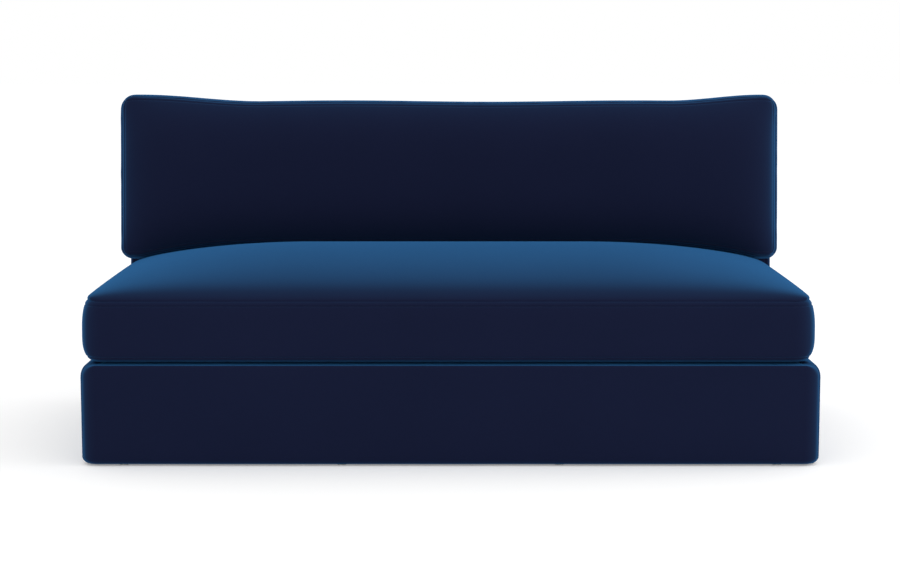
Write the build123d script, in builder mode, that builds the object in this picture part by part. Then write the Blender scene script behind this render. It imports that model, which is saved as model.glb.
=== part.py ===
from build123d import *
import os
from math import atan, cos, radians, sin, tan

os.makedirs("parts", exist_ok=True)

# Armless sofa, in millimetres. X runs across, the front faces -Y, Z is up, and the
# origin is on the floor under the middle of the sofa.

# ---- driving dimensions ----

# outer sizes
base_width = 1829
overall_depth = 965
deck_height = 256
back_height = 790
back_recline = 6
back_foot = 153

# seat box
floor_gap = 5
corner_radius = 42
edge_roll_radius = 40
hem_radius = 14
hem_return = 60
rail_thickness = 22
rail_height = 209
rail_cover_gap = 14
edge_roll_width = 60
deck_band = 75
stretcher_height = 90
stretcher_spacing = 610
corner_block_leg = 62
corner_block_height = 150

# cloth, felt and padding
cloth = 1.6
ease = 0.2
felt_thickness = 2.5
dust_cloth = 1.0
dust_cloth_margin = 15

# springs
spring_count = 9
spring_spacing = 190
spring_wire = 3.8
spring_loop_width = 50
spring_half_pitch = 25
spring_lift = 5
clip_width = 26
clip_length = 14
tie_wire = 3
tie_wire_spacing = 260

# glides
glide_diameter = 22
glide_nail_diameter = 4
glide_nail_length = 18
glide_columns = 4
glide_spacing = 540

# back frame
back_top_front_radius = 30
back_top_rear_radius = 20
back_end_radius = 14
back_padding_depth = 12
back_board = 3
post_thickness = 22
bottom_rail_depth = 44
tack_rail_height = 80
tack_rail_lift = 14
joint_rail_low = 90
joint_rail_height = 120
bottom_rail_height = 75
rear_seam = 20
webbing_count = 8
webbing_spacing = 205
webbing_width = 50
webbing_thickness = 1.5

# fasteners
bolt_diameter = 8
bolt_head_diameter = 13
bolt_head_height = 5.3
bolt_pairs = 2
bolt_spacing = 500
bolt_height = 150
bolt_clearance = 0.5
thread_clearance = 0.05
bolt_tail = 6
washer_diameter = 24
washer_thickness = 1.6
tee_flange_diameter = 24
tee_flange_thickness = 1.5
tee_barrel_diameter = 10
tee_barrel_length = 12
screw_diameter = 4.5
screw_head_diameter = 9
screw_head_height = 3
screw_length = 45
screw_rise = 45

# seat cushion
rest_gap = 0.3
seat_bulge_width = 1817
seat_front_setback = 8
seat_back_clearance = 16
seat_side_seam_inset = 10
seat_low_seam_inset = 22
seat_low_seam_lift = 8
seat_boxing_height = 144
seat_corner_radius = 50
seat_crown = 103
seat_crown_run = 535
seat_belly_inset = 16
seat_wrap_thickness = 25

# back cushion, measured up the recline from the deck and forward from the back frame
pillow_width = 1829
pillow_gap = 2.5
pillow_rear_puff = 32
pillow_boxing_depth = 130
pillow_crown = 50
pillow_crown_run = 300
pillow_middle_top = 615
pillow_ear_rise = 18
pillow_ear_start = 555
pillow_ear_shoulder = 830
pillow_corner_low = 171
pillow_arch_rise = 35
pillow_arch_start = 540
pillow_arch_end = 850
pillow_top_seam_inset = 12
pillow_side_seam_inset = 7
pillow_low_seam_inset = 8
pillow_top_corner_radius = 35
pillow_low_corner_radius = 27
pillow_wrap_thickness = 25

# zips
seat_zip_length = 1400
pillow_zip_length = 840
pillow_zip_setback = 40
zip_tape_width = 24
zip_tape_thickness = 0.9
zip_teeth_width = 5
zip_teeth_height = 1.6
zip_slider_length = 16
zip_slider_width = 10
zip_slider_wall = 1.5
zip_slider_clearance = 0.35
zip_pull_length = 26
zip_pull_width = 7
zip_pull_thickness = 1.4

# ---- places worked out from the sizes ----

half_width = base_width / 2
front_y = -overall_depth / 2
rear_y = overall_depth / 2
joint_y = rear_y - back_foot
rail_face = cloth + rail_cover_gap
rail_low = floor_gap + cloth + ease
rail_top = rail_low + rail_height
rail_front_y = front_y + rail_face
rail_half = half_width - rail_face
spring_z = rail_top + spring_lift
tie_z = spring_z + spring_wire / 2 + tie_wire / 2
felt_low = tie_z + tie_wire / 2
felt_top = felt_low + felt_thickness
deck_foam_top = deck_height - cloth - ease
padding_inset = cloth + ease
post_rear = cloth + ease + back_board
bottom_rail_back = rear_y - post_rear
lean_sin = sin(radians(back_recline))
lean_cos = cos(radians(back_recline))
lean_tan = tan(radians(back_recline))


def finish(piece, name):
    piece.part.label = name
    export_step(piece.part, f"parts/{name}.step")


# ---- seat box: its outer form, at any inset from the upholstered surface ----


def seat_box_form(inset):
    low = floor_gap + inset
    high = deck_height - inset
    side = half_width - inset
    with BuildPart() as form:
        with BuildSketch(Plane.XY.offset(low)):
            with Locations((0, (front_y + inset + joint_y) / 2)):
                Rectangle(2 * side, joint_y - front_y - inset)
        extrude(amount=high - low)
        uprights = form.edges().filter_by(Axis.Z).group_by(Axis.Y)[0]
        fillet(uprights, corner_radius - inset)
        top_edges = form.faces().sort_by(Axis.Z)[-1].edges()
        fillet(top_edges.sort_by(Axis.Y)[:-1], edge_roll_radius - inset)
        low_edges = form.faces().sort_by(Axis.Z)[0].edges()
        fillet(low_edges.sort_by(Axis.Y)[:-1], hem_radius - inset)
    return form.part


# plan regions that share the box at 45 degree mitres through its front corners, and how far
# they reach each way from those corners
mitre = 320
front_region = [
    (-half_width - mitre, front_y - mitre),
    (half_width + mitre, front_y - mitre),
    (half_width - mitre, front_y + mitre),
    (-half_width + mitre, front_y + mitre),
]
left_region = [
    (-half_width - mitre, front_y - mitre),
    (-half_width + mitre, front_y + mitre),
    (-half_width + mitre, joint_y),
    (-half_width - mitre, joint_y),
]
right_region = [(-x, y) for x, y in left_region]


def polygon_face(plane, corners):
    with BuildSketch(plane) as face:
        with BuildLine():
            Polyline(*corners, close=True)
        make_face()
    return face.sketch


def disc_faces(plane, places, radius):
    with BuildSketch(plane) as discs:
        with Locations(*places):
            Circle(radius)
    return discs.sketch


def keep_region(corners):
    extrude(polygon_face(Plane.XY, corners), amount=deck_height + mitre, mode=Mode.INTERSECT)


def plan_block(x_half, y_low, y_high, z_low, z_high, mode=Mode.SUBTRACT):
    with BuildSketch(Plane.XY.offset(z_low)) as plan:
        with Locations((0, (y_low + y_high) / 2)):
            Rectangle(2 * x_half, y_high - y_low)
    extrude(plan.sketch, amount=z_high - z_low, mode=mode)


# ---- glides: nylon discs with a nail, in a row under the front rail and a row under the
# bottom rail of the back frame ----

glide_rows = [rail_front_y + rail_thickness / 2, bottom_rail_back - bottom_rail_depth / 2]


def glide_places():
    return [
        (column * glide_spacing - (glide_columns - 1) * glide_spacing / 2, row)
        for row in glide_rows
        for column in range(glide_columns)
    ]


with BuildPart() as floor_glides:
    with BuildSketch(Plane.XY):
        with Locations(*glide_places()):
            Circle(glide_diameter / 2)
    extrude(amount=floor_gap - dust_cloth)
    with BuildSketch(Plane.XY.offset(floor_gap - dust_cloth)):
        with Locations(*glide_places()):
            Circle(glide_nail_diameter / 2)
    extrude(amount=glide_nail_length)
finish(floor_glides, "floor_glides")


def cut_glide_nails():
    nails = disc_faces(Plane.XY, glide_places(), glide_nail_diameter / 2)
    extrude(nails, amount=floor_gap - dust_cloth + glide_nail_length, mode=Mode.SUBTRACT)


# ---- padding and covers of the seat box ----

# padding round the rails, with the soft edge roll along their tops
roll_inset = rail_face + edge_roll_width
with BuildPart() as box_padding:
    add(seat_box_form(padding_inset))
    plan_block(rail_half, rail_front_y, joint_y, floor_gap, felt_low)
    plan_block(half_width - roll_inset, front_y + roll_inset, joint_y, rail_top, deck_height)
    plan_block(base_width, front_y, joint_y, 0, rail_low)

with BuildPart() as front_padding:
    add(box_padding.part)
    keep_region(front_region)
finish(front_padding, "front_padding")

with BuildPart() as left_padding:
    add(box_padding.part)
    keep_region(left_region)
finish(left_padding, "left_padding")

with BuildPart() as right_padding:
    add(box_padding.part)
    keep_region(right_region)
finish(right_padding, "right_padding")

# sewn covers: one skin, cut at the corner seams and round the deck cloth
with BuildPart() as box_skin:
    add(seat_box_form(0))
    add(seat_box_form(cloth), mode=Mode.SUBTRACT)
    plan_block(
        half_width - hem_return, front_y + hem_return, joint_y, floor_gap, floor_gap + cloth
    )

with BuildPart() as front_cover:
    add(box_skin.part)
    keep_region(front_region)
    plan_block(half_width - deck_band, front_y + deck_band, joint_y, rail_top, deck_height)
    cut_glide_nails()
finish(front_cover, "front_cover")

with BuildPart() as left_cover:
    add(box_skin.part)
    keep_region(left_region)
    plan_block(half_width - deck_band, front_y + deck_band, joint_y, rail_top, deck_height)
finish(left_cover, "left_cover")

with BuildPart() as right_cover:
    add(box_skin.part)
    keep_region(right_region)
    plan_block(half_width - deck_band, front_y + deck_band, joint_y, rail_top, deck_height)
finish(right_cover, "right_cover")

with BuildPart() as deck_cloth:
    plan_block(
        half_width - deck_band,
        front_y + deck_band,
        joint_y,
        deck_height - cloth,
        deck_height,
        mode=Mode.ADD,
    )
finish(deck_cloth, "deck_cloth")

with BuildPart() as deck_foam:
    plan_block(
        half_width - roll_inset,
        front_y + roll_inset,
        joint_y,
        felt_top,
        deck_foam_top,
        mode=Mode.ADD,
    )
finish(deck_foam, "deck_foam")

with BuildPart() as insulating_felt:
    plan_block(
        half_width - roll_inset, front_y + roll_inset, joint_y, felt_low, felt_top, mode=Mode.ADD
    )
finish(insulating_felt, "insulating_felt")

# the nails go through the dust cloth
with BuildPart() as dust_cover:
    plan_block(
        half_width - dust_cloth_margin,
        front_y + dust_cloth_margin,
        rear_y - dust_cloth_margin,
        floor_gap - dust_cloth,
        floor_gap,
        mode=Mode.ADD,
    )
    cut_glide_nails()
finish(dust_cover, "dust_cover")

# ---- seat box timber ----

rail_back_y = rail_front_y + rail_thickness
rear_rail_y = joint_y - rail_thickness
rails_middle_y = (rail_back_y + rear_rail_y) / 2
bolt_places = [
    (side * (bolt_spacing / 2 + pair * bolt_spacing), bolt_height)
    for side in (-1, 1)
    for pair in range(bolt_pairs)
]
corner_places = [
    (x_sign, y_sign) for x_sign in (-1, 1) for y_sign in (-1, 1)
]
screw_levels = [-screw_rise, screw_rise]
block_low = rail_low + (rail_height - corner_block_height) / 2
block_middle = block_low + corner_block_height / 2


def block_corner(x_sign, y_sign):
    x = x_sign * (rail_half - rail_thickness)
    y = rear_rail_y if y_sign > 0 else rail_back_y
    return x, y


def screw_frames():
    # each screw starts on a block's sloping face and runs square into a side rail
    frames = []
    for x_sign, y_sign in corner_places:
        x, y = block_corner(x_sign, y_sign)
        start_x = x - x_sign * corner_block_leg / 2
        start_y = y - y_sign * corner_block_leg / 2
        for level in screw_levels:
            frames.append(
                Plane(origin=(start_x, start_y, block_middle + level), z_dir=(x_sign, 0, 0))
            )
    return frames


def screw_solids(with_head, mode):
    for place in screw_frames():
        shank = disc_faces(place, [(0, 0)], screw_diameter / 2)
        extrude(shank, amount=screw_length, mode=mode)
        if with_head:
            head = disc_faces(place.offset(-screw_head_height), [(0, 0)], screw_head_diameter / 2)
            extrude(head, amount=screw_head_height, mode=mode)


with BuildPart() as front_rail:
    plan_block(rail_half, rail_front_y, rail_back_y, rail_low, rail_top, mode=Mode.ADD)
    add(seat_box_form(padding_inset), mode=Mode.INTERSECT)
    cut_glide_nails()
finish(front_rail, "front_rail")

bolt_hole_radius = bolt_diameter / 2 + bolt_clearance
with BuildPart() as rear_rail:
    plan_block(rail_half, rear_rail_y, joint_y, rail_low, rail_top, mode=Mode.ADD)
    with BuildSketch(Plane.XZ.offset(-joint_y)):
        with Locations(*bolt_places):
            Circle(bolt_hole_radius)
    extrude(amount=rail_thickness, mode=Mode.SUBTRACT)
finish(rear_rail, "rear_rail")


def side_rail(x_sign, name):
    with BuildPart() as rail:
        with BuildSketch(Plane.XY.offset(rail_low)):
            with Locations((x_sign * (rail_half - rail_thickness / 2), rails_middle_y)):
                Rectangle(rail_thickness, rear_rail_y - rail_back_y)
        extrude(amount=rail_height)
        screw_solids(False, Mode.SUBTRACT)
    finish(rail, name)


side_rail(-1, "left_rail")
side_rail(1, "right_rail")


with BuildPart() as stretchers:
    with BuildSketch(Plane.XY.offset(rail_low)):
        with GridLocations(stretcher_spacing, 1, 2, 1):
            with Locations((0, rails_middle_y)):
                Rectangle(rail_thickness, rear_rail_y - rail_back_y)
    extrude(amount=stretcher_height)
finish(stretchers, "stretchers")

with BuildPart() as corner_blocks:
    for x_sign, y_sign in corner_places:
        x, y = block_corner(x_sign, y_sign)
        with BuildSketch(Plane.XY.offset(block_low)):
            with BuildLine():
                Polyline(
                    (x, y),
                    (x - x_sign * corner_block_leg, y),
                    (x, y - y_sign * corner_block_leg),
                    close=True,
                )
            make_face()
        extrude(amount=corner_block_height)
    screw_solids(True, Mode.SUBTRACT)
finish(corner_blocks, "corner_blocks")

with BuildPart() as block_screws:
    screw_solids(True, Mode.ADD)
finish(block_screws, "block_screws")

# ---- springs: flat zigzag wire from the front rail to the rear rail ----

spring_front_y = (rail_front_y + rail_back_y) / 2
spring_rear_y = (rear_rail_y + joint_y) / 2
spring_turns = int((spring_rear_y - spring_front_y) / spring_half_pitch / 2) * 2 + 1
spring_step = (spring_rear_y - spring_front_y) / spring_turns
spring_bend = spring_step / 2


def spring_path():
    # cross bars joined by half turns, each half turn made as two quarter arcs
    reach = spring_loop_width / 2 - spring_bend
    y = spring_front_y
    side = 1
    at = (-side * spring_loop_width / 2, y)
    for turn in range(spring_turns):
        Line(at, (side * reach, y))
        outer = (side * (reach + spring_bend), y + spring_bend)
        lift = spring_bend * sin(radians(45))
        first = (side * (reach + lift), y + spring_bend - lift)
        second = (side * (reach + lift), y + spring_bend + lift)
        ThreePointArc((side * reach, y), first, outer)
        ThreePointArc(outer, second, (side * reach, y + spring_step))
        at = (side * reach, y + spring_step)
        y += spring_step
        side = -side
    Line(at, (side * spring_loop_width / 2, y))


spring_columns = [
    (index - (spring_count - 1) / 2) * spring_spacing for index in range(spring_count)
]
with BuildPart() as one_spring:
    with BuildLine(Plane.XY.offset(spring_z)) as wire_path:
        spring_path()
    with BuildSketch(Plane(origin=wire_path.line @ 0, z_dir=wire_path.line % 0)):
        Circle(spring_wire / 2)
    sweep()

with BuildPart() as sinuous_springs:
    for column in spring_columns:
        add(Pos(column, 0, 0) * one_spring.part)
finish(sinuous_springs, "sinuous_springs")

clip_places = [
    (column, y) for column in spring_columns for y in (spring_front_y, spring_rear_y)
]
with BuildPart() as spring_clips:
    with BuildSketch(Plane.XY.offset(rail_top)):
        with Locations(*clip_places):
            Rectangle(clip_width, clip_length)
    extrude(amount=felt_low - rail_top)
    for column, y in clip_places:
        with BuildSketch(Plane.YZ.offset(column - clip_width / 2)):
            with Locations((y, spring_z)):
                Circle(spring_wire / 2 + thread_clearance)
        extrude(amount=clip_width, mode=Mode.SUBTRACT)
finish(spring_clips, "spring_clips")

with BuildPart() as tie_wires:
    with BuildSketch(Plane.YZ.offset(-rail_half + rail_thickness)):
        for side in (-1, 1):
            with Locations(((rail_front_y + joint_y) / 2 + side * tie_wire_spacing / 2, tie_z)):
                Circle(tie_wire / 2)
    extrude(amount=2 * (rail_half - rail_thickness))
finish(tie_wires, "tie_wires")

# ---- back frame: side profile at given insets from the upholstered surface ----


def front_line_y(z, inset):
    # the back frame's reclining front face, at a height above the deck
    return joint_y + (z - deck_height) * lean_tan + inset / lean_cos


def back_profile(front, top, rear, low):
    high = back_height - top
    kink_z = deck_height - front * (1 / lean_cos - 1) / lean_tan
    return [
        (joint_y + front, floor_gap + low),
        (joint_y + front, kink_z),
        (front_line_y(high, front), high),
        (rear_y - rear, high),
        (rear_y - rear, floor_gap + low),
    ]


def extrude_profile(corners, x_low, x_high, mode=Mode.ADD):
    extrude(polygon_face(Plane.YZ.offset(x_low), corners), amount=x_high - x_low, mode=mode)


def back_form(inset):
    side = half_width - inset
    with BuildPart() as form:
        with BuildSketch(Plane.YZ.offset(-side)):
            with BuildLine():
                Polyline(*back_profile(inset, inset, inset, inset), close=True)
            profile = make_face()
            top_corners = profile.vertices().group_by(Axis.Y)[-1].sort_by(Axis.X)
            fillet(top_corners[0], back_top_front_radius - inset)
            fillet(
                profile.vertices().group_by(Axis.Y)[-1].sort_by(Axis.X)[-1],
                back_top_rear_radius - inset,
            )
        extrude(amount=2 * side)
        ends = form.faces().group_by(Axis.X)
        fillet(ends[0].edges() + ends[-1].edges(), back_end_radius - inset)
    return form.part


post_outer = half_width - back_end_radius
frame_inset = padding_inset + back_padding_depth
post_profile = back_profile(frame_inset, frame_inset, post_rear, cloth + ease)
top_rail_low = back_height - frame_inset - rail_thickness
tack_rail_low = deck_height + tack_rail_lift
tack_rail_top = tack_rail_low + tack_rail_height
tack_rail_profile = [
    (front_line_y(tack_rail_low, frame_inset), tack_rail_low),
    (front_line_y(tack_rail_top, frame_inset), tack_rail_top),
    (front_line_y(tack_rail_top, frame_inset + rail_thickness), tack_rail_top),
    (front_line_y(tack_rail_low, frame_inset + rail_thickness), tack_rail_low),
]
top_rail_high = top_rail_low + rail_thickness
top_rail_profile = [
    (front_line_y(top_rail_low, frame_inset), top_rail_low),
    (front_line_y(top_rail_high, frame_inset), top_rail_high),
    (rear_y - post_rear, top_rail_high),
    (rear_y - post_rear, top_rail_low),
]
joint_rail_front = joint_y + cloth
joint_rail_back = joint_rail_front + rail_thickness
rail_reach = post_outer - post_thickness


def post(x_low, name):
    with BuildPart() as board:
        extrude_profile(post_profile, x_low, x_low + post_thickness)
        add(back_form(padding_inset), mode=Mode.INTERSECT)
    finish(board, name)


post(-post_outer, "left_post")
post(rail_reach, "right_post")

with BuildPart() as top_rail:
    extrude_profile(top_rail_profile, -rail_reach, rail_reach)
finish(top_rail, "top_rail")

with BuildPart() as tack_rail:
    extrude_profile(tack_rail_profile, -rail_reach, rail_reach)
finish(tack_rail, "tack_rail")


def rail_block(y_low, y_high, z_low, z_high, mode=Mode.ADD):
    plan_block(rail_reach, y_low, y_high, z_low, z_high, mode=mode)


joint_rail_top = joint_rail_low + joint_rail_height
with BuildPart() as joint_rail:
    rail_block(joint_rail_front, joint_rail_back, joint_rail_low, joint_rail_top)
    with BuildSketch(Plane.XZ.offset(-joint_rail_back)):
        with Locations(*bolt_places):
            Circle(tee_barrel_diameter / 2)
    extrude(amount=tee_barrel_length, mode=Mode.SUBTRACT)
    with BuildSketch(Plane.XZ.offset(-joint_rail_back)):
        with Locations(*bolt_places):
            Circle(bolt_hole_radius)
    extrude(amount=rail_thickness, mode=Mode.SUBTRACT)
finish(joint_rail, "joint_rail")

bottom_rail_low = floor_gap + cloth + ease
bottom_rail_top = bottom_rail_low + bottom_rail_height
bottom_rail_front = bottom_rail_back - bottom_rail_depth
with BuildPart() as bottom_rail:
    rail_block(bottom_rail_front, bottom_rail_back, bottom_rail_low, bottom_rail_top)
    cut_glide_nails()
finish(bottom_rail, "bottom_rail")

with BuildPart() as centre_post:
    extrude_profile(post_profile, -post_thickness / 2, post_thickness / 2)
    rail_block(joint_rail_front, joint_rail_back, joint_rail_low, joint_rail_top, Mode.SUBTRACT)
    rail_block(
        bottom_rail_front, bottom_rail_back, bottom_rail_low, bottom_rail_top, Mode.SUBTRACT
    )
    extrude_profile(tack_rail_profile, -rail_reach, rail_reach, Mode.SUBTRACT)
    rail_block(joint_y, rear_y, top_rail_low, back_height, Mode.SUBTRACT)
finish(centre_post, "centre_post")

# elastic webbing up the front of the back frame, from the tack rail to the top rail
webbing_columns = [
    (index - (webbing_count - 1) / 2) * webbing_spacing for index in range(webbing_count)
]
webbing_inset = frame_inset - webbing_thickness
webbing_profile = [
    (front_line_y(tack_rail_low, webbing_inset), tack_rail_low),
    (front_line_y(top_rail_high, webbing_inset), top_rail_high),
    (front_line_y(top_rail_high, frame_inset), top_rail_high),
    (front_line_y(tack_rail_low, frame_inset), tack_rail_low),
]
with BuildPart() as back_webbing:
    for column in webbing_columns:
        extrude_profile(webbing_profile, column - webbing_width / 2, column + webbing_width / 2)
finish(back_webbing, "back_webbing")

# padding: front and top in one piece, and one on each end
back_padding_form = back_form(padding_inset)
padding_high = back_height - frame_inset
behind_padding = [
    (front_line_y(tack_rail_low, webbing_inset), tack_rail_low),
    (front_line_y(padding_high, webbing_inset), padding_high),
    (rear_y + back_foot, padding_high),
    (rear_y + back_foot, tack_rail_low),
]
with BuildPart() as back_padding:
    add(back_padding_form)
    extrude_profile(behind_padding, -half_width, half_width, Mode.SUBTRACT)
    plan_block(post_outer, joint_y, rear_y, tack_rail_low, back_height, Mode.INTERSECT)
finish(back_padding, "back_padding")


with BuildPart() as end_padding:
    add(back_padding_form)
    plan_block(post_outer, front_y, rear_y, 0, back_height)
finish(end_padding, "end_padding")

with BuildPart() as outside_back_board:
    with BuildSketch(Plane.XZ.offset(-(rear_y - cloth - ease))):
        with Locations((0, (floor_gap + back_height) / 2)):
            Rectangle(2 * post_outer, back_height - floor_gap - 2 * rear_seam)
    extrude(amount=back_board)
finish(outside_back_board, "outside_back_board")

# covers of the back frame, cut at the end seams and at the rear seam
with BuildPart() as back_skin:
    add(back_form(0))
    add(back_form(cloth), mode=Mode.SUBTRACT)
    plan_block(
        half_width - hem_return,
        joint_y + hem_return,
        rear_y - hem_return,
        floor_gap,
        floor_gap + cloth,
    )

end_seam = half_width - back_end_radius


def end_cover(x_sign, name):
    with BuildPart() as cover:
        add(back_skin.part)
        with BuildSketch(Plane.XY):
            with Locations((x_sign * (end_seam + half_width), joint_y)):
                Rectangle(2 * half_width, base_width)
        extrude(amount=back_height, mode=Mode.INTERSECT)
    finish(cover, name)


end_cover(-1, "left_end_cover")
end_cover(1, "right_end_cover")

with BuildPart() as inside_back_cover:
    add(back_skin.part)
    plan_block(end_seam, front_y, rear_y - rear_seam, 0, back_height, mode=Mode.INTERSECT)
    with BuildSketch(Plane.XZ.offset(-joint_y)):
        with Locations(*bolt_places):
            Circle(bolt_hole_radius)
    extrude(amount=-cloth, mode=Mode.SUBTRACT)
    cut_glide_nails()
finish(inside_back_cover, "inside_back_cover")

with BuildPart() as outside_back_cover:
    add(back_skin.part)
    plan_block(end_seam, rear_y - rear_seam, rear_y, 0, back_height, mode=Mode.INTERSECT)
finish(outside_back_cover, "outside_back_cover")

# ---- bolts that join the back frame to the seat box ----


def on_bolts(y, radius, length, mode=Mode.ADD):
    extrude(disc_faces(Plane.XZ.offset(-y), bolt_places, radius), amount=-length, mode=mode)


washer_y = rear_rail_y - washer_thickness
with BuildPart() as joint_washers:
    on_bolts(washer_y, washer_diameter / 2, washer_thickness)
    on_bolts(washer_y, bolt_hole_radius, washer_thickness, Mode.SUBTRACT)
finish(joint_washers, "joint_washers")

with BuildPart() as joint_bolts:
    with BuildSketch(Plane.XZ.offset(-washer_y)):
        with Locations(*bolt_places):
            RegularPolygon(bolt_head_diameter / 2, 6, major_radius=False)
    extrude(amount=bolt_head_height)
    on_bolts(washer_y, bolt_diameter / 2, joint_rail_back + bolt_tail - washer_y)
finish(joint_bolts, "joint_bolts")

tee_bore_radius = bolt_diameter / 2 + thread_clearance
with BuildPart() as tee_nuts:
    on_bolts(joint_rail_back, tee_flange_diameter / 2, tee_flange_thickness)
    on_bolts(joint_rail_back - tee_barrel_length, tee_barrel_diameter / 2, tee_barrel_length)
    on_bolts(
        joint_rail_back - tee_barrel_length,
        tee_bore_radius,
        tee_barrel_length + tee_flange_thickness,
        Mode.SUBTRACT,
    )
finish(tee_nuts, "tee_nuts")

# ---- crowned panels: lofted across the sofa through flat-topped arches ----


def arch_face(cross, low, high, base, rise):
    # a three-centred arch: its two end arcs have half the rise as their radius
    size = abs(rise)
    way = rise / size
    end = size / 2
    half = (high - low) / 2
    middle = (high + low) / 2
    broad = (half**2 + size**2 - half * size) / size
    turn = atan((half - end) / (broad - size))
    part_turn = (turn + radians(90)) / 2
    tangent_out = broad * sin(turn)
    tangent_up = base + way * (size - broad + broad * cos(turn))
    end_out = half - end + end * sin(part_turn)
    end_up = base + way * end * cos(part_turn)
    with BuildSketch(cross) as arch:
        with BuildLine():
            ThreePointArc(
                (low, base), (middle - end_out, end_up), (middle - tangent_out, tangent_up)
            )
            ThreePointArc(
                (middle - tangent_out, tangent_up),
                (middle, base + rise),
                (middle + tangent_out, tangent_up),
            )
            ThreePointArc(
                (middle + tangent_out, tangent_up), (middle + end_out, end_up), (high, base)
            )
            Line((high, base), (low, base))
        make_face()
    return arch.sketch


crown_turns = [7, 19, 33, 49, 68, 90]
level_shares = [0.7, 0.35]


def crown_stations(half, run):
    # places across the sofa, and the share of the full rise there: a quarter ellipse at
    # each end and a level middle
    first = cos(radians(crown_turns[0]))
    stations = []
    for turn in crown_turns:
        inward = run * (1 - cos(radians(turn)) / first)
        stations.append((half - inward, sin(radians(turn))))
    for share in level_shares:
        stations.append((share * (half - run), 1))
    left = [(-x, share) for x, share in stations]
    return left + [(0, 1)] + [(x, share) for x, share in reversed(stations)]


# the arches start a little outside and below the seam, and the seam's outline trims them
seam_margin = 2
seam_depth = 2


# ---- zips: a tape with closed teeth, and a slider that rides over the teeth ----

# in a zip's own frame its X runs along the tape and its Z stands out of the cover
tape_back = -cloth - ease / 2
tape_face = tape_back + zip_tape_thickness
teeth_top = tape_face + zip_teeth_height
slider_roof = teeth_top + zip_slider_clearance
slider_foot = tape_face + zip_slider_clearance
slider_top = slider_roof + zip_slider_wall
pull_low = slider_top + zip_slider_clearance


def zip_box(frame, x_size, y_size, low, high, mode=Mode.ADD, x_middle=0):
    with BuildSketch(frame.offset(low)) as base:
        with Locations((x_middle, 0)):
            Rectangle(x_size, y_size)
    extrude(base.sketch, amount=high - low, mode=mode)


def cut_zip_window(frame, length):
    zip_box(
        frame,
        length + 2 * ease,
        zip_tape_width + 2 * ease,
        -3 * cloth,
        3 * cloth,
        Mode.SUBTRACT,
    )


def zip_strip(frame, length, name):
    with BuildPart() as strip:
        zip_box(frame, length, zip_tape_width, tape_back, tape_face)
        zip_box(frame, length, zip_teeth_width, tape_face, teeth_top)
    finish(strip, name)


def zip_slider(frame, start, name):
    channel = zip_teeth_width + 2 * zip_slider_clearance
    with BuildPart() as slider:
        zip_box(
            frame, zip_slider_length, zip_slider_width, slider_foot, slider_top, x_middle=start
        )
        zip_box(
            frame,
            zip_slider_length,
            channel,
            slider_foot,
            slider_roof,
            Mode.SUBTRACT,
            start,
        )
        zip_box(
            frame,
            zip_slider_length / 3,
            zip_slider_width / 3,
            slider_top,
            pull_low,
            x_middle=start,
        )
        zip_box(
            frame,
            zip_pull_length,
            zip_pull_width,
            pull_low,
            pull_low + zip_pull_thickness,
            x_middle=start + zip_pull_length / 2 - zip_slider_length / 3,
        )
    finish(slider, name)


# ---- seat cushion ----

seat_half = seat_bulge_width / 2
seat_low = deck_height + rest_gap
seat_low_seam = seat_low + seat_low_seam_lift
seat_top_seam = seat_low_seam + seat_boxing_height
seat_widest = (seat_low_seam + seat_top_seam) / 2
seat_front_y = front_y + seat_front_setback
seat_rear_y = front_line_y(seat_widest, 0) - seat_back_clearance
seat_middle_y = (seat_front_y + seat_rear_y) / 2

# the seat zip lies along the middle of the rear boxing and leans as the strip does there
seat_zip_slope = (seat_low_seam_inset - seat_side_seam_inset) / seat_boxing_height
seat_zip_frame = Plane(
    origin=(0, seat_rear_y, seat_widest), x_dir=(1, 0, 0), z_dir=(0, 1, -seat_zip_slope)
)


def seat_outline(z, inset):
    with BuildSketch(Plane.XY.offset(z)) as outline:
        with Locations((0, seat_middle_y)):
            RectangleRounded(
                2 * (seat_half - inset),
                seat_rear_y - seat_front_y - 2 * inset,
                seat_corner_radius,
            )
    return outline.sketch


def seat_band(inset):
    # an inner form ends above the seam, where the wrap is as thick as elsewhere
    low = max(seat_low_seam, seat_low + inset)
    low_share = (seat_widest - low) / (seat_widest - seat_low_seam)
    levels = [
        (low, inset + seat_low_seam_inset * low_share**2),
        (seat_widest, inset),
        (seat_top_seam, inset + seat_side_seam_inset),
    ]
    with BuildPart() as band:
        loft([seat_outline(z, edge) for z, edge in levels])
    return band.part


def seat_dome(inset):
    edge = inset + seat_side_seam_inset
    arches = [
        arch_face(
            Plane.YZ.offset(x),
            seat_front_y + edge - seam_margin,
            seat_rear_y - edge + seam_margin,
            seat_top_seam - seam_depth,
            (seat_crown - inset) * share + seam_depth,
        )
        for x, share in crown_stations(seat_half - edge + seam_margin, seat_crown_run)
    ]
    with BuildPart() as dome:
        loft(arches)
        extrude(seat_outline(seat_top_seam, edge), amount=2 * seat_crown, mode=Mode.INTERSECT)
    return dome.part


# shares of the drop below the lower seam and of the inset there
belly_steps = [(1, 1), (0.55, 0.25), (0, 0)]


def seat_belly(inset):
    edge = inset + seat_low_seam_inset
    drop = seat_low_seam_lift - inset
    with BuildPart() as belly:
        loft(
            [
                seat_outline(seat_low_seam - drop * down, edge + seat_belly_inset * inward)
                for down, inward in belly_steps
            ]
        )
    return belly.part


def seat_form(inset):
    with BuildPart() as form:
        add(seat_band(inset))
        add(seat_dome(inset))
        if inset < seat_low_seam_lift:
            add(seat_belly(inset))
    return form.part


def hollow(outer, inner):
    with BuildPart() as shell:
        add(outer)
        add(inner, mode=Mode.SUBTRACT)
    return shell.part


def keep_plan(corners, height):
    extrude(polygon_face(Plane.XY, corners), amount=height, mode=Mode.INTERSECT)


seat_core_inset = cloth + ease + seat_wrap_thickness + ease
with BuildPart() as seat_core:
    add(seat_form(seat_core_inset))
finish(seat_core, "seat_core")

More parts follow.
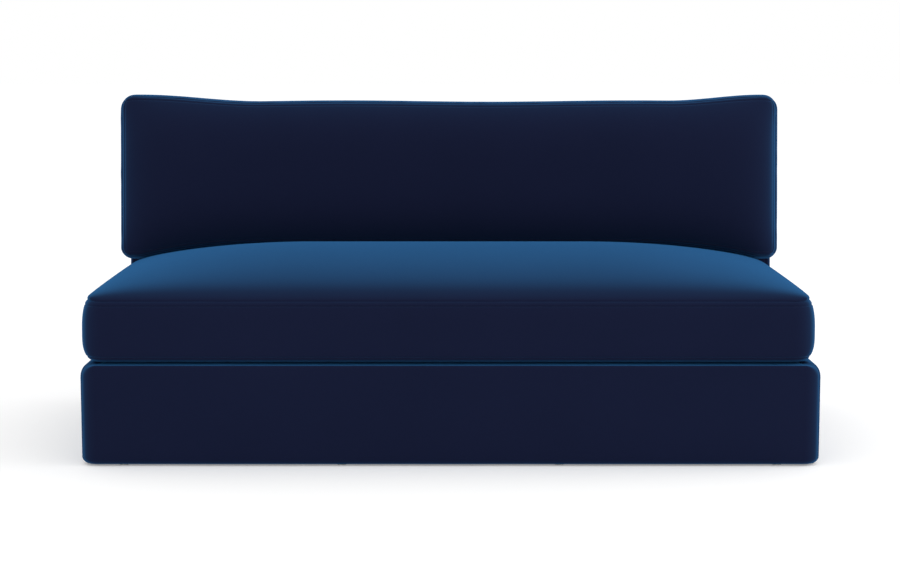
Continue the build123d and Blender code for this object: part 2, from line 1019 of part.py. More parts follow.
with BuildPart() as seat_wrap:
    add(hollow(seat_form(cloth + ease), seat_form(seat_core_inset - ease)))
    cut_zip_window(seat_zip_frame, seat_zip_length)
finish(seat_wrap, "seat_wrap")

with BuildPart() as seat_top_panel:
    add(hollow(seat_dome(0), seat_dome(cloth)))
finish(seat_top_panel, "seat_top_panel")

with BuildPart() as seat_bottom_panel:
    add(hollow(seat_belly(0), seat_belly(cloth)))
finish(seat_bottom_panel, "seat_bottom_panel")

# the boxing strip, sewn at its four corners
seat_strip = hollow(seat_band(0), seat_band(cloth))
seat_mitre = seat_corner_radius + seat_low_seam_inset
seat_left = -seat_half
front_strip_region = [
    (seat_left - seat_mitre, seat_front_y - seat_mitre),
    (-seat_left + seat_mitre, seat_front_y - seat_mitre),
    (-seat_left - seat_mitre, seat_front_y + seat_mitre),
    (seat_left + seat_mitre, seat_front_y + seat_mitre),
]
rear_strip_region = [(x, 2 * seat_middle_y - y) for x, y in front_strip_region]
left_strip_region = [
    (seat_left - seat_mitre, seat_front_y - seat_mitre),
    (seat_left + seat_mitre, seat_front_y + seat_mitre),
    (seat_left + seat_mitre, seat_rear_y - seat_mitre),
    (seat_left - seat_mitre, seat_rear_y + seat_mitre),
]
right_strip_region = [(-x, y) for x, y in left_strip_region]
strip_top = seat_top_seam + seat_crown


def seat_strip_piece(region, name):
    with BuildPart() as strip:
        add(seat_strip)
        keep_plan(region, strip_top)
    finish(strip, name)


seat_strip_piece(front_strip_region, "seat_front_boxing")
seat_strip_piece(left_strip_region, "seat_left_boxing")
seat_strip_piece(right_strip_region, "seat_right_boxing")


seat_zip_start = -seat_zip_length / 2 + zip_slider_length
with BuildPart() as seat_rear_boxing:
    add(seat_strip)
    keep_plan(rear_strip_region, strip_top)
    cut_zip_window(seat_zip_frame, seat_zip_length)
finish(seat_rear_boxing, "seat_rear_boxing")
zip_strip(seat_zip_frame, seat_zip_length, "seat_zip")
zip_slider(seat_zip_frame, seat_zip_start, "seat_zip_slider")

# ---- back cushion, drawn on a plane that reclines with the back frame ----

lean = Plane(
    origin=(0, joint_y, deck_height), x_dir=(1, 0, 0), z_dir=(0, -lean_cos, lean_sin)
)
pillow_half = pillow_width / 2
pillow_rear_seam = pillow_gap + pillow_rear_puff
pillow_front_seam = pillow_rear_seam + pillow_boxing_depth
pillow_bulge_level = (pillow_rear_seam + pillow_front_seam) / 2
pillow_ear_top = pillow_middle_top + pillow_ear_rise
pillow_arch_top = pillow_corner_low + pillow_arch_rise
ear_step = (pillow_ear_shoulder - pillow_ear_start) / 4
ear_places = [pillow_ear_start + ear_step * step for step in range(5)]
arch_middle = (pillow_arch_start + pillow_arch_end) / 2
arch_places = [pillow_arch_start, arch_middle, pillow_arch_end]

# the back cushion's zip lies under it, along the level middle of the lower boxing, and leans
# as the strip does there
pillow_zip_level = pillow_bulge_level - pillow_zip_setback
setback_share = pillow_zip_setback / (pillow_boxing_depth / 2)
zip_sink = pillow_low_seam_inset * setback_share**2
zip_slope = 2 * pillow_low_seam_inset * setback_share / (pillow_boxing_depth / 2)
pillow_zip_frame = Plane(
    origin=lean.from_local_coords((0, pillow_arch_top + zip_sink, pillow_zip_level)),
    x_dir=(1, 0, 0),
    z_dir=-lean.y_dir - lean.z_dir * zip_slope,
)


def pillow_top_at(x):
    # height of the top edge: level in the middle, then rising to the ears
    out = min(max((abs(x) - pillow_ear_start) / (pillow_ear_shoulder - pillow_ear_start), 0), 1)
    return pillow_middle_top + pillow_ear_rise * out * out * (3 - 2 * out)


def pillow_low_at(x):
    # height of the bottom edge: arched in the middle to sit on the seat cushion's crown
    out = min(max((abs(x) - pillow_arch_start) / (pillow_arch_end - pillow_arch_start), 0), 1)
    return pillow_arch_top - pillow_arch_rise * out * out


def pillow_outline(level, side, top, low):
    # the cushion's outline at one level forward of the back frame, drawn in by three insets
    half = pillow_half - side
    middle_high = pillow_middle_top - top
    middle_low = pillow_arch_top + low
    with BuildSketch(lean.offset(level)) as outline:
        with BuildLine():
            for x_sign in (-1, 1):
                top_points = [(x_sign * x, pillow_top_at(x) - top) for x in ear_places]
                low_points = [(x_sign * x, pillow_low_at(x) + low) for x in arch_places]
                ear_corner = (x_sign * half, pillow_ear_top - top)
                low_corner = (x_sign * half, pillow_corner_low + low)
                ThreePointArc(*top_points[:3])
                ThreePointArc(*top_points[2:])
                Line(top_points[4], ear_corner)
                Line(ear_corner, low_corner)
                Line(low_corner, low_points[2])
                ThreePointArc(*low_points)
            Line((-pillow_ear_start, middle_high), (pillow_ear_start, middle_high))
            Line((-pillow_arch_start, middle_low), (pillow_arch_start, middle_low))
        make_face()
        for end in (0, -1):
            low_corner = outline.vertices().group_by(Axis.X)[end].sort_by(Axis.Y)[0]
            fillet(low_corner, pillow_low_corner_radius)
            ear_corner = outline.vertices().group_by(Axis.X)[end].sort_by(Axis.Y)[-1]
            fillet(ear_corner, pillow_top_corner_radius)
    return outline.sketch


def pillow_seam(level, inset):
    return pillow_outline(
        level,
        inset + pillow_side_seam_inset,
        inset + pillow_top_seam_inset,
        inset + pillow_low_seam_inset,
    )


def pillow_band(inset):
    with BuildPart() as band:
        loft(
            [
                pillow_seam(pillow_rear_seam, inset),
                pillow_outline(pillow_bulge_level, inset, inset, inset),
                pillow_seam(pillow_front_seam, inset),
            ]
        )
    return band.part


def pillow_dome(inset, level, rise):
    edge = pillow_half - inset - pillow_side_seam_inset
    way = rise / abs(rise)
    arches = [
        arch_face(
            Plane(origin=lean.from_local_coords((x, 0, 0)), x_dir=lean.y_dir, z_dir=(1, 0, 0)),
            pillow_low_at(x) + inset + pillow_low_seam_inset - seam_margin,
            pillow_top_at(x) - inset - pillow_top_seam_inset + seam_margin,
            level - way * seam_depth,
            (rise - way * inset) * share + way * seam_depth,
        )
        for x, share in crown_stations(edge + seam_margin, pillow_crown_run)
    ]
    with BuildPart() as dome:
        loft(arches)
        extrude(pillow_seam(level, inset), amount=2 * rise, mode=Mode.INTERSECT)
    return dome.part


def pillow_front_dome(inset):
    return pillow_dome(inset, pillow_front_seam, pillow_crown)


def pillow_rear_dome(inset):
    return pillow_dome(inset, pillow_rear_seam, -pillow_rear_puff)


def pillow_form(inset):
    with BuildPart() as form:
        add(pillow_band(inset))
        add(pillow_front_dome(inset))
        add(pillow_rear_dome(inset))
    return form.part


pillow_core_inset = cloth + ease + pillow_wrap_thickness + ease
with BuildPart() as back_cushion_core:
    add(pillow_form(pillow_core_inset))
finish(back_cushion_core, "back_cushion_core")

with BuildPart() as back_cushion_wrap:
    add(hollow(pillow_form(cloth + ease), pillow_form(pillow_core_inset - ease)))
    cut_zip_window(pillow_zip_frame, pillow_zip_length)
finish(back_cushion_wrap, "back_cushion_wrap")

with BuildPart() as back_cushion_front:
    add(hollow(pillow_front_dome(0), pillow_front_dome(cloth)))
finish(back_cushion_front, "back_cushion_front")

with BuildPart() as back_cushion_rear:
    add(hollow(pillow_rear_dome(0), pillow_rear_dome(cloth)))
finish(back_cushion_rear, "back_cushion_rear")

# the boxing strip of the back cushion, sewn at its four corners
pillow_strip = hollow(pillow_band(0), pillow_band(cloth))
pillow_mitre = pillow_top_corner_radius + pillow_top_seam_inset
pillow_high = pillow_ear_top + pillow_mitre
pillow_deep = pillow_corner_low - pillow_mitre
top_strip_region = [
    (-pillow_half - pillow_mitre, pillow_high),
    (pillow_half + pillow_mitre, pillow_high),
    (pillow_half - pillow_mitre, pillow_high - 2 * pillow_mitre),
    (-pillow_half + pillow_mitre, pillow_high - 2 * pillow_mitre),
]
low_strip_region = [
    (-pillow_half - pillow_mitre, pillow_deep),
    (pillow_half + pillow_mitre, pillow_deep),
    (pillow_half - pillow_mitre, pillow_deep + 2 * pillow_mitre),
    (pillow_arch_start, pillow_arch_top + 2 * pillow_mitre),
    (-pillow_arch_start, pillow_arch_top + 2 * pillow_mitre),
    (-pillow_half + pillow_mitre, pillow_deep + 2 * pillow_mitre),
]
left_pillow_region = [
    (-pillow_half - pillow_mitre, pillow_high),
    (-pillow_half + pillow_mitre, pillow_high - 2 * pillow_mitre),
    (-pillow_half + pillow_mitre, pillow_deep + 2 * pillow_mitre),
    (-pillow_half - pillow_mitre, pillow_deep),
]
right_pillow_region = [(-x, up) for x, up in left_pillow_region]


def keep_lean(region):
    face = polygon_face(lean, region)
    extrude(face, amount=pillow_front_seam + pillow_crown, mode=Mode.INTERSECT)


def pillow_strip_piece(region, name):
    with BuildPart() as strip:
        add(pillow_strip)
        keep_lean(region)
    finish(strip, name)


pillow_strip_piece(top_strip_region, "back_cushion_top_boxing")
pillow_strip_piece(left_pillow_region, "back_cushion_left_boxing")
pillow_strip_piece(right_pillow_region, "back_cushion_right_boxing")

pillow_zip_start = -pillow_zip_length / 2 + zip_slider_length
with BuildPart() as back_cushion_low_boxing:
    add(pillow_strip)
    keep_lean(low_strip_region)
    cut_zip_window(pillow_zip_frame, pillow_zip_length)
finish(back_cushion_low_boxing, "back_cushion_low_boxing")
zip_strip(pillow_zip_frame, pillow_zip_length, "back_cushion_zip")
zip_slider(pillow_zip_frame, pillow_zip_start, "back_cushion_zip_slider")
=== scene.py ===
import bpy
import numpy as np
from math import cos, pi, radians, sin, tan
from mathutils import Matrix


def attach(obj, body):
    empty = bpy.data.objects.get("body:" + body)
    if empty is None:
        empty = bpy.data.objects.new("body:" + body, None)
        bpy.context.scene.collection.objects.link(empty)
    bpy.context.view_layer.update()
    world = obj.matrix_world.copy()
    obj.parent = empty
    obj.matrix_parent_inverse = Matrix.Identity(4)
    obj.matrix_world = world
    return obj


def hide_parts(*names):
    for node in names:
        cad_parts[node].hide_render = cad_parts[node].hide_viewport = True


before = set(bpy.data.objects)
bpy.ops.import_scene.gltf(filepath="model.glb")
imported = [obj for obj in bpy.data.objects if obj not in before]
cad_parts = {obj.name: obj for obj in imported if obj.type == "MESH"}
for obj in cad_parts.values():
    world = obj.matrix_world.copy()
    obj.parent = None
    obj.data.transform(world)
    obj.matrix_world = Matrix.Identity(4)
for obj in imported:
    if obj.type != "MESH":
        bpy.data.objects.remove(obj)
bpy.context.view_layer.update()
print("frame loaded")

# Everything is in metres. X runs across the sofa, its front faces -Y and the floor is z = 0.

# meshes from arrays


def gridFaces(numbers, flip=False):
    # one quad between each four neighbours in a table of vertex numbers
    a, b = numbers[:-1, :-1], numbers[1:, :-1]
    c, d = numbers[1:, 1:], numbers[:-1, 1:]
    order = (a, d, c, b) if flip else (a, b, c, d)
    return np.stack(order, -1).reshape(-1, 4)


def makePiece(name, points, faces, body, material):
    # a smooth mesh of quads straight from the arrays of points and faces, riding on one body
    mesh = bpy.data.meshes.new(name)
    mesh.vertices.add(len(points))
    mesh.vertices.foreach_set("co", points.astype(np.float32).ravel())
    mesh.loops.add(faces.size)
    mesh.loops.foreach_set("vertex_index", faces.astype(np.int32).ravel())
    mesh.polygons.add(len(faces))
    mesh.polygons.foreach_set("loop_start", np.arange(0, faces.size, 4, dtype=np.int32))
    mesh.polygons.foreach_set("use_smooth", np.ones(len(faces), bool))
    mesh.update(calc_edges=True)
    mesh.validate()
    piece = bpy.data.objects.new(name, mesh)
    bpy.context.scene.collection.objects.link(piece)
    mesh.materials.append(material)
    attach(piece, body)
    return piece


def thicken(piece, cloth):
    # a wall of cloth, measured inwards from the piece's surface
    wall = piece.modifiers.new("cloth", "SOLIDIFY")
    wall.thickness = cloth
    wall.offset = -1


def waves(along, seed, lengths, strength):
    # the mean of sines of the given wavelengths with seeded phases, so that it repeats each run
    phases = np.random.default_rng(seed).uniform(0, 2 * pi, len(lengths))
    total = sum(np.sin(2 * pi * along / part + turn) for part, turn in zip(lengths, phases))
    return strength * total / len(lengths)


# materials


def fillNode(tree, node, inputs):
    # each named or numbered input is linked to a socket or given a plain value
    for label, value in inputs.items():
        if hasattr(value, "is_output"):
            tree.links.new(value, node.inputs[label])
        else:
            node.inputs[label].default_value = value
    return node


def addNode(tree, kind, inputs, **settings):
    # a new node; its settings come first, because they decide which inputs it has
    node = tree.nodes.new("ShaderNode" + kind)
    for setting, value in settings.items():
        setattr(node, setting, value)
    return fillNode(tree, node, inputs)


def mathNode(tree, operation, *values):
    # the result of one Math node on sockets and plain numbers
    return addNode(tree, "Math", dict(enumerate(values)), operation=operation).outputs["Value"]


def noiseNode(tree, vector, scale, detail):
    # noise about 0.5 with about scale blobs to the metre, and finer ones for each step of detail
    inputs = {"Vector": vector, "Scale": scale, "Detail": detail}
    return addNode(tree, "TexNoise", inputs).outputs["Fac"]


def mixNode(tree, factor, first, second, blend="MIX"):
    # from the first colour at factor 0 to the second at 1, or another blend of the two
    inputs = {"Factor": factor, "A": first, "B": second}
    return addNode(tree, "Mix", inputs, data_type="RGBA", blend_type=blend).outputs["Result"]


def rangeNode(tree, value, low, high, toLow, toHigh, kind="LINEAR"):
    # takes low to toLow and high to toHigh, and holds those values outside
    inputs = {"Value": value, "From Min": low, "From Max": high, "To Min": toLow, "To Max": toHigh}
    return addNode(tree, "MapRange", inputs, interpolation_type=kind).outputs["Result"]


def bumpNode(tree, height, strength, distance):
    # the surface's normals, tilted by the slope of a height
    inputs = {"Strength": strength, "Distance": distance, "Height": height}
    return addNode(tree, "Bump", inputs).outputs["Normal"]


def newGroup(name, inputs, outputs):
    # a node group with these inputs (name, kind, value) and outputs (name, kind), and its two ends
    group = bpy.data.node_groups.new(name, "ShaderNodeTree")
    for label, kind, value in inputs:
        kind = "NodeSocket" + kind
        socket = group.interface.new_socket(label, in_out="INPUT", socket_type=kind)
        socket.default_value = value
    for label, kind in outputs:
        group.interface.new_socket(label, in_out="OUTPUT", socket_type="NodeSocket" + kind)
    return group, group.nodes.new("NodeGroupInput"), group.nodes.new("NodeGroupOutput")


def newMaterial(name):
    # a material with nothing but its Principled shader
    material = bpy.data.materials.new(name)
    material.use_nodes = True
    tree = material.node_tree
    return material, tree, tree.nodes["Principled BSDF"]


velvetPile = {
    "facing": (0.0090, 0.0102, 0.0305, 1),  # looking into the pile
    # painted sheen: the edge colour is painted into the base colour where the surface slants from
    # the view
    "edge": (0.0137, 0.0430, 0.1080, 1),  # painted sheen: lighter blue where the pile is seen at a slant
    "turn": (0.33, 0.73),  # where the pile's colour gives way to the painted sheen
    "sheen": (0.068, 0.369, 0.878, 1),
    "sheenWeight": 0.39,
    "sheenRoughness": 0.5,
    "roughness": 0.9,
    "cloudScale": 3.0,
    "cloudFloor": 0.9,  # the colour is multiplied by this and the noise times the next
    "cloudRise": 0.2,
    "tuftScale": 900.0,
    "tuftBump": (0.25, 0.0006),  # strength and distance
}


def napGroup():
    # brushed pile: broad lighter and darker clouds in the colour, fine tufts in the height
    v = velvetPile
    inputs = [
        ("Colour", "Color", v["facing"]),
        ("Cloud Scale", "Float", v["cloudScale"]),
        ("Tuft Scale", "Float", v["tuftScale"]),
        ("Variation", "Float", v["cloudRise"]),
    ]
    group, start, end = newGroup("napPile", inputs, [("Colour", "Color"), ("Height", "Float")])
    place = addNode(group, "TexCoord", {}).outputs["Object"]
    cloud = noiseNode(group, place, start.outputs["Cloud Scale"], 3)
    tuft = noiseNode(group, place, start.outputs["Tuft Scale"], 2)
    level = mathNode(group, "MULTIPLY_ADD", cloud, start.outputs["Variation"], v["cloudFloor"])
    tint = mixNode(group, 1, start.outputs["Colour"], level, "MULTIPLY")
    fillNode(group, end, {"Colour": tint, "Height": tuft})
    return group


def velvetMaterial():
    # painted sheen: the base colour turns from facing to edge as the surface slants away from the
    # view, under the shader's own blue sheen
    v = velvetPile
    material, tree, shader = newMaterial("navyVelvet")
    slant = addNode(tree, "LayerWeight", {"Blend": 0.5}).outputs["Facing"]
    turn = rangeNode(tree, slant, *v["turn"], 0, 1, "SMOOTHSTEP")
    # the painted sheen is mixed into the base colour here
    pileAndPaintedSheen = mixNode(tree, turn, v["facing"], v["edge"])
    pile = addNode(tree, "Group", {"Colour": pileAndPaintedSheen}, node_tree=napGroup()).outputs
    values = {
        "Base Color": pile["Colour"],
        "Normal": bumpNode(tree, pile["Height"], *v["tuftBump"]),
        "Roughness": v["roughness"],
        "Specular IOR Level": 0,
        "Sheen Weight": v["sheenWeight"],
        "Sheen Roughness": v["sheenRoughness"],
        "Sheen Tint": v["sheen"],
    }
    fillNode(tree, shader, values)
    return material


def twoTones(name, extra):
    # the start that the finishes below share: two colours and the object's coordinates
    tones = [("Colour", "Color", (0.5, 0.5, 0.5, 1))]
    tones += [("Second Colour", "Color", (0.3, 0.3, 0.3, 1))]
    outputs = [("Colour", "Color"), ("Roughness", "Float"), ("Height", "Float")]
    group, start, end = newGroup(name, tones + extra, outputs)
    place = addNode(group, "TexCoord", {}).outputs["Object"]
    return group, start.outputs, end, place


def endGroup(group, start, end, share, roughness, height):
    # their end: the two colours mixed by share, the roughness and the height
    colour = mixNode(group, share, start["Colour"], start["Second Colour"])
    fillNode(group, end, {"Colour": colour, "Roughness": roughness, "Height": height})
    return group


def woodGroup():
    # veneer: noise drawn out along the grain as streaks, with pores in the colour and the height
    extra = [("Stretch", "Vector", (1, 12, 12)), ("Scale", "Float", 6.0)]
    group, start, end, place = twoTones("woodGrain", extra)
    drawn = addNode(group, "VectorMath", {0: place, 1: start["Stretch"]}, operation="MULTIPLY")
    streak = noiseNode(group, drawn.outputs["Vector"], start["Scale"], 5)
    pore = noiseNode(group, drawn.outputs["Vector"], 90, 2)
    dark = rangeNode(group, streak, 0.38, 0.66, 0, 0.7)
    share = mathNode(group, "ADD", mathNode(group, "MULTIPLY", pore, 0.35), dark)
    roughness = rangeNode(group, pore, 0.3, 0.7, 0.55, 0.8)
    return endGroup(group, start, end, share, roughness, pore)


def metalGroup():
    # drawn or plated metal: duller patches in the second colour, fine draw marks in the height
    extra = [("Scale", "Float", 40.0), ("Wear", "Float", 0.5)]
    group, start, end, place = twoTones("rubbedMetal", extra)
    cloud = noiseNode(group, place, start["Scale"], 4)
    mark = noiseNode(group, place, 1400, 1)
    patch = rangeNode(group, cloud, 0.4, 0.65, 0, 1)
    share = mathNode(group, "MULTIPLY", patch, start["Wear"])
    roughness = rangeNode(group, cloud, 0.3, 0.7, 0.28, 0.52)
    return endGroup(group, start, end, share, roughness, mark)


def weaveGroup():
    # plain weave: the product of two sine bands across each other, with uneven threads
    extra = [("Threads", "Float", 900.0), ("Turn", "Vector", (1, 1, 0))]
    group, start, end, place = twoTones("wovenThread", extra)
    split = addNode(group, "SeparateXYZ", {0: place}).outputs
    turn = addNode(group, "SeparateXYZ", {0: start["Turn"]}).outputs
    across, along, level = [mathNode(group, "MULTIPLY", split[k], turn[k]) for k in "XYZ"]
    bands = []
    for value in (across, mathNode(group, "ADD", along, level)):
        angle = mathNode(group, "MULTIPLY", value, start["Threads"])
        bands.append(mathNode(group, "SINE", mathNode(group, "MULTIPLY", angle, 2 * pi)))
    weave = mathNode(group, "MULTIPLY", *bands)
    slub = noiseNode(group, place, 160, 3)
    share = rangeNode(group, mathNode(group, "ADD", weave, slub), -0.6, 1.6, 0, 1)
    roughness = rangeNode(group, slub, 0.3, 0.7, 0.75, 0.95)
    return endGroup(group, start, end, share, roughness, weave)


def fibreGroup():
    # matted fibres or foam cells: coarse tone clouds under fine speckle
    extra = [("Scale", "Float", 500.0), ("Clouds", "Float", 12.0)]
    group, start, end, place = twoTones("mattedFibre", extra)
    speck = noiseNode(group, place, start["Scale"], 4)
    cloud = noiseNode(group, place, start["Clouds"], 2)
    share = rangeNode(group, mathNode(group, "ADD", speck, cloud), 0.7, 1.3, 0, 1)
    roughness = rangeNode(group, speck, 0.3, 0.7, 0.8, 0.98)
    return endGroup(group, start, end, share, roughness, speck)


def groupMaterial(name, group, first, second, values, metallic=0, shine=0.3, sheen=0):
    # one group's colour, roughness and height into a Principled shader
    material, tree, shader = newMaterial(name)
    inputs = {"Colour": (*first, 1), "Second Colour": (*second, 1), **values}
    finish = addNode(tree, "Group", inputs, node_tree=group).outputs
    values = {
        "Base Color": finish["Colour"],
        "Roughness": finish["Roughness"],
        "Normal": bumpNode(tree, finish["Height"], *finishBump),
        "Metallic": metallic,
        "Specular IOR Level": shine,
        "Sheen Weight": sheen,
    }
    fillNode(tree, shader, values)
    return material


velvet = velvetMaterial()
wood, metal, weave, fibre = woodGroup(), metalGroup(), weaveGroup(), fibreGroup()
finishBump = (0.4, 0.0004)  # strength and distance
birch, birchDark = (0.56, 0.38, 0.20), (0.30, 0.17, 0.075)
plated = {"metallic": 1}
soft = {"shine": 0.04, "sheen": 0.1}
finishes = {  # group, main and second colour, the group's other values, the shader's own
    "birchPly": (wood, birch, birchDark, {"Scale": 7, "Stretch": (1, 14, 14)}, {}),
    "birchPlyUpright": (wood, birch, birchDark, {"Scale": 7, "Stretch": (14, 14, 1)}, {}),
    "birchPlyDeep": (wood, birch, birchDark, {"Scale": 7, "Stretch": (14, 1, 14)}, {}),
    "hardboard": (fibre, (0.30, 0.19, 0.10), (0.20, 0.12, 0.06), {"Scale": 700, "Clouds": 9}, {}),
    "zincSteel": (metal, (0.62, 0.62, 0.58), (0.44, 0.43, 0.36), {"Scale": 60}, plated),
    "springSteel": (metal, (0.16, 0.165, 0.18), (0.30, 0.29, 0.28), {"Scale": 45}, plated),
    "zipMetal": (
        metal, (0.10, 0.105, 0.12), (0.42, 0.40, 0.36), {"Scale": 260, "Wear": 0.7}, plated
    ),
    "glideNylon": (
        fibre, (0.72, 0.71, 0.67), (0.60, 0.58, 0.53), {"Scale": 300, "Clouds": 60}, {}
    ),
    "webbing": (
        weave, (0.016, 0.016, 0.018), (0.045, 0.044, 0.042), {"Threads": 420, "Turn": (1, 0, 1)}, {}
    ),
    "zipTape": (
        weave, (0.006, 0.0085, 0.026), (0.011, 0.016, 0.042),
        {"Threads": 1100, "Turn": (1, 0.5, 1)}, soft,
    ),
    "deckWeave": (weave, (0.0055, 0.0075, 0.020), (0.013, 0.017, 0.040), {"Threads": 620}, soft),
    "dustFibre": (
        fibre, (0.010, 0.010, 0.011), (0.032, 0.032, 0.034), {"Scale": 420, "Clouds": 30}, {}
    ),
    "feltFibre": (
        fibre, (0.30, 0.29, 0.27), (0.16, 0.155, 0.15), {"Scale": 340, "Clouds": 22}, {}
    ),
    "foamCells": (
        fibre, (0.78, 0.66, 0.38), (0.66, 0.54, 0.29), {"Scale": 900, "Clouds": 6}, {}
    ),
    "topstitchThread": (
        weave, (0.010, 0.014, 0.040), (0.016, 0.026, 0.066),
        {"Threads": 1600, "Turn": (1, 1, 1)}, {"shine": 0.04, "sheen": 0.15},
    ),
}
materialOf = {}
for name, (group, first, second, values, surface) in finishes.items():
    materialOf[name] = groupMaterial(name, group, first, second, values, **surface)
nodesOf = {  # the CAD nodes that each finish goes on
    "birchPly": "front_rail rear_rail bottom_rail joint_rail tack_rail top_rail",
    "birchPlyDeep": "left_rail right_rail stretchers corner_blocks",
    "birchPlyUpright": "left_post right_post centre_post",
    "hardboard": "outside_back_board",
    "zincSteel": "block_screws joint_bolts joint_washers tee_nuts",
    "springSteel": "sinuous_springs spring_clips tie_wires",
    "glideNylon": "floor_glides",
    "webbing": "back_webbing",
    "zipTape": "seat_zip back_cushion_zip",
    "zipMetal": "seat_zip_slider back_cushion_zip_slider",
}
for finish, names in nodesOf.items():
    for name in names.split():
        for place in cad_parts[name].material_slots:
            place.material = materialOf[finish]
print("materials", len(bpy.data.materials))

# boxed cushions: a crowned panel, a boxing strip and a second panel, sewn together


def gradedLine(half, edges, step):
    # places from -half to half: close together near both ends, evenly spaced between
    inner = half - edges[-1]
    count = int(round(2 * inner / step))
    middle = np.linspace(-inner, inner, count + 1)
    return np.concatenate([-half + edges[:-1], middle, half - edges[-2::-1]])


def roundCorners(p, q, halfP, halfQ, radiusHigh, radiusLow):
    # squeezes the square corners of a rectangle into quarter discs
    radius = np.where(q > 0, radiusHigh, radiusLow)
    a = np.maximum(np.abs(p) - (halfP - radius), 0) / radius
    b = np.maximum(np.abs(q) - (halfQ - radius), 0) / radius
    both = (a > 0) & (b > 0)
    x = np.where(both, halfP - radius + radius * a * np.sqrt(1 - b * b / 2), np.abs(p))
    y = np.where(both, halfQ - radius + radius * b * np.sqrt(1 - a * a / 2), np.abs(q))
    return np.sign(p) * x, np.sign(q) * y


def archHeight(u, half, rise):
    # a three-centred arch: its end arcs have half the rise as their radius
    rise = np.maximum(rise, 1e-5)  # no division by 0 at the cushion's ends
    end = rise / 2
    broad = (half**2 + rise**2 - half * rise) / rise
    turn = np.arctan((half - end) / (broad - rise))
    tangentOut = broad * np.sin(turn)
    u = np.minimum(np.abs(u), half)
    middle = rise - broad + np.sqrt(np.maximum(broad**2 - u**2, 0))
    shoulder = np.sqrt(np.maximum(end**2 - (u - (half - end)) ** 2, 0))
    return np.where(u <= tangentOut, middle, shoulder)


def shoulderLens(u, half, rise, shoulder, run):
    # a parabola across, with a share of its rise gained at once inside the edge
    away = half - np.minimum(np.abs(u), half)
    lens = 1 - (1 - away / half) ** 2
    return rise * (shoulder * (1 - np.exp(-away / run)) + (1 - shoulder) * lens)


def endRise(distance, run, power=0.5):
    # nearly a quarter ellipse, from 0 at the seam to 1 at the end of its run
    share = np.clip(distance / run, 0, 1)
    return (1 - (1 - share) ** 2) ** power


def loopOf(numbers):
    # the border of a panel grid, once round, anticlockwise seen from outside the panel
    return np.concatenate(
        [numbers[:-1, 0], numbers[-1, :-1], numbers[:0:-1, -1], numbers[0, :0:-1]]
    )


def shellFaces(numbers, rings):
    # faces of two panel grids and of the strip between their borders, which has so many rings
    count, border = numbers.size, loopOf(numbers)
    inner = 2 * count + np.arange(rings * len(border)).reshape(rings, len(border))
    table = np.concatenate([border[None], inner, border[None] + count])
    table = np.concatenate([table, table[:, :1]], 1)
    panels = [gridFaces(numbers), gridFaces(numbers + count, flip=True)]
    return np.concatenate(panels + [gridFaces(table)])


def unit(vectors):
    # each vector at length 1; one of no length stays as it is
    return vectors / np.maximum(np.linalg.norm(vectors, axis=-1, keepdims=True), 1e-6)


def outwardOf(loop):
    # unit normals of a closed plane curve that runs anticlockwise
    ahead = np.roll(loop, -1, 0) - np.roll(loop, 1, 0)
    return unit(np.stack([ahead[:, 1], -ahead[:, 0]], -1))


def lengthAlong(line):
    # how far along a line each of its points lies, from its first
    return np.concatenate([[0], np.cumsum(np.linalg.norm(np.diff(line, axis=0), axis=1))])


seams = {
    "pinchDepth": 0.0036,  # how far the seam is drawn in
    "pinchReach": 0.0028,
    "pullWidth": 0.05,  # the margin of a panel that is pulled towards its own edge
    "stitchAway": 0.0115,  # from the seam to the topstitching
    "stitchDepth": 0.0019,
    "stitchReach": 0.0015,
    "zipFacing": 0.7,  # how squarely the strip faces the zip's way where the zip sinks it
    "zipEnd": 0.006,  # how far the dip goes past the zip's ends and sides, and its slope
    "zipSide": 0.004,
    "zipSlope": 0.004,
    "panelStep": 0.0125,  # between grid lines away from the seams
    "stripStep": 0.0062,
}
# millimetres from the seam on the panels and on the strip, closest at the seam and the stitching
edgeSteps = [0, 0.5, 1.3, 2.4, 4, 6, 8, 9.6, 10.6, 11.5, 12.4, 13.4, 15, 18, 22, 28, 36, 46]
bandSteps = [0, 0.6, 1.3, 2.4, 4, 6, 8, 9.6, 10.6, 11.5, 12.4, 13.4, 15, 18, 22, 28]
stitchIndex = 9  # the step that the topstitching follows
edgeSteps, bandSteps = np.array(edgeSteps) / 1000, np.array(bandSteps) / 1000


def pinch(away):
    # deepest at the seam and dying away from it
    return seams["pinchDepth"] * np.exp(-away / seams["pinchReach"])


def stitchGroove(away):
    # a bell-shaped groove at the topstitching's distance from the seam
    off = (away - seams["stitchAway"]) / seams["stitchReach"]
    return seams["stitchDepth"] * np.exp(-(off**2))


def zipDip(facing, x, across, zipShape):
    # the zip's depth over its length and width, falling to 0 a little way outside
    halfLength, level, halfWidth, sunk = zipShape
    ends = (halfLength + seams["zipEnd"] - np.abs(x)) / seams["zipSlope"]
    sides = (halfWidth + seams["zipSide"] - np.abs(across - level)) / seams["zipSlope"]
    dip = sunk * np.clip(ends, 0, 1) * np.clip(sides, 0, 1)
    return np.where(facing > seams["zipFacing"], dip, 0)


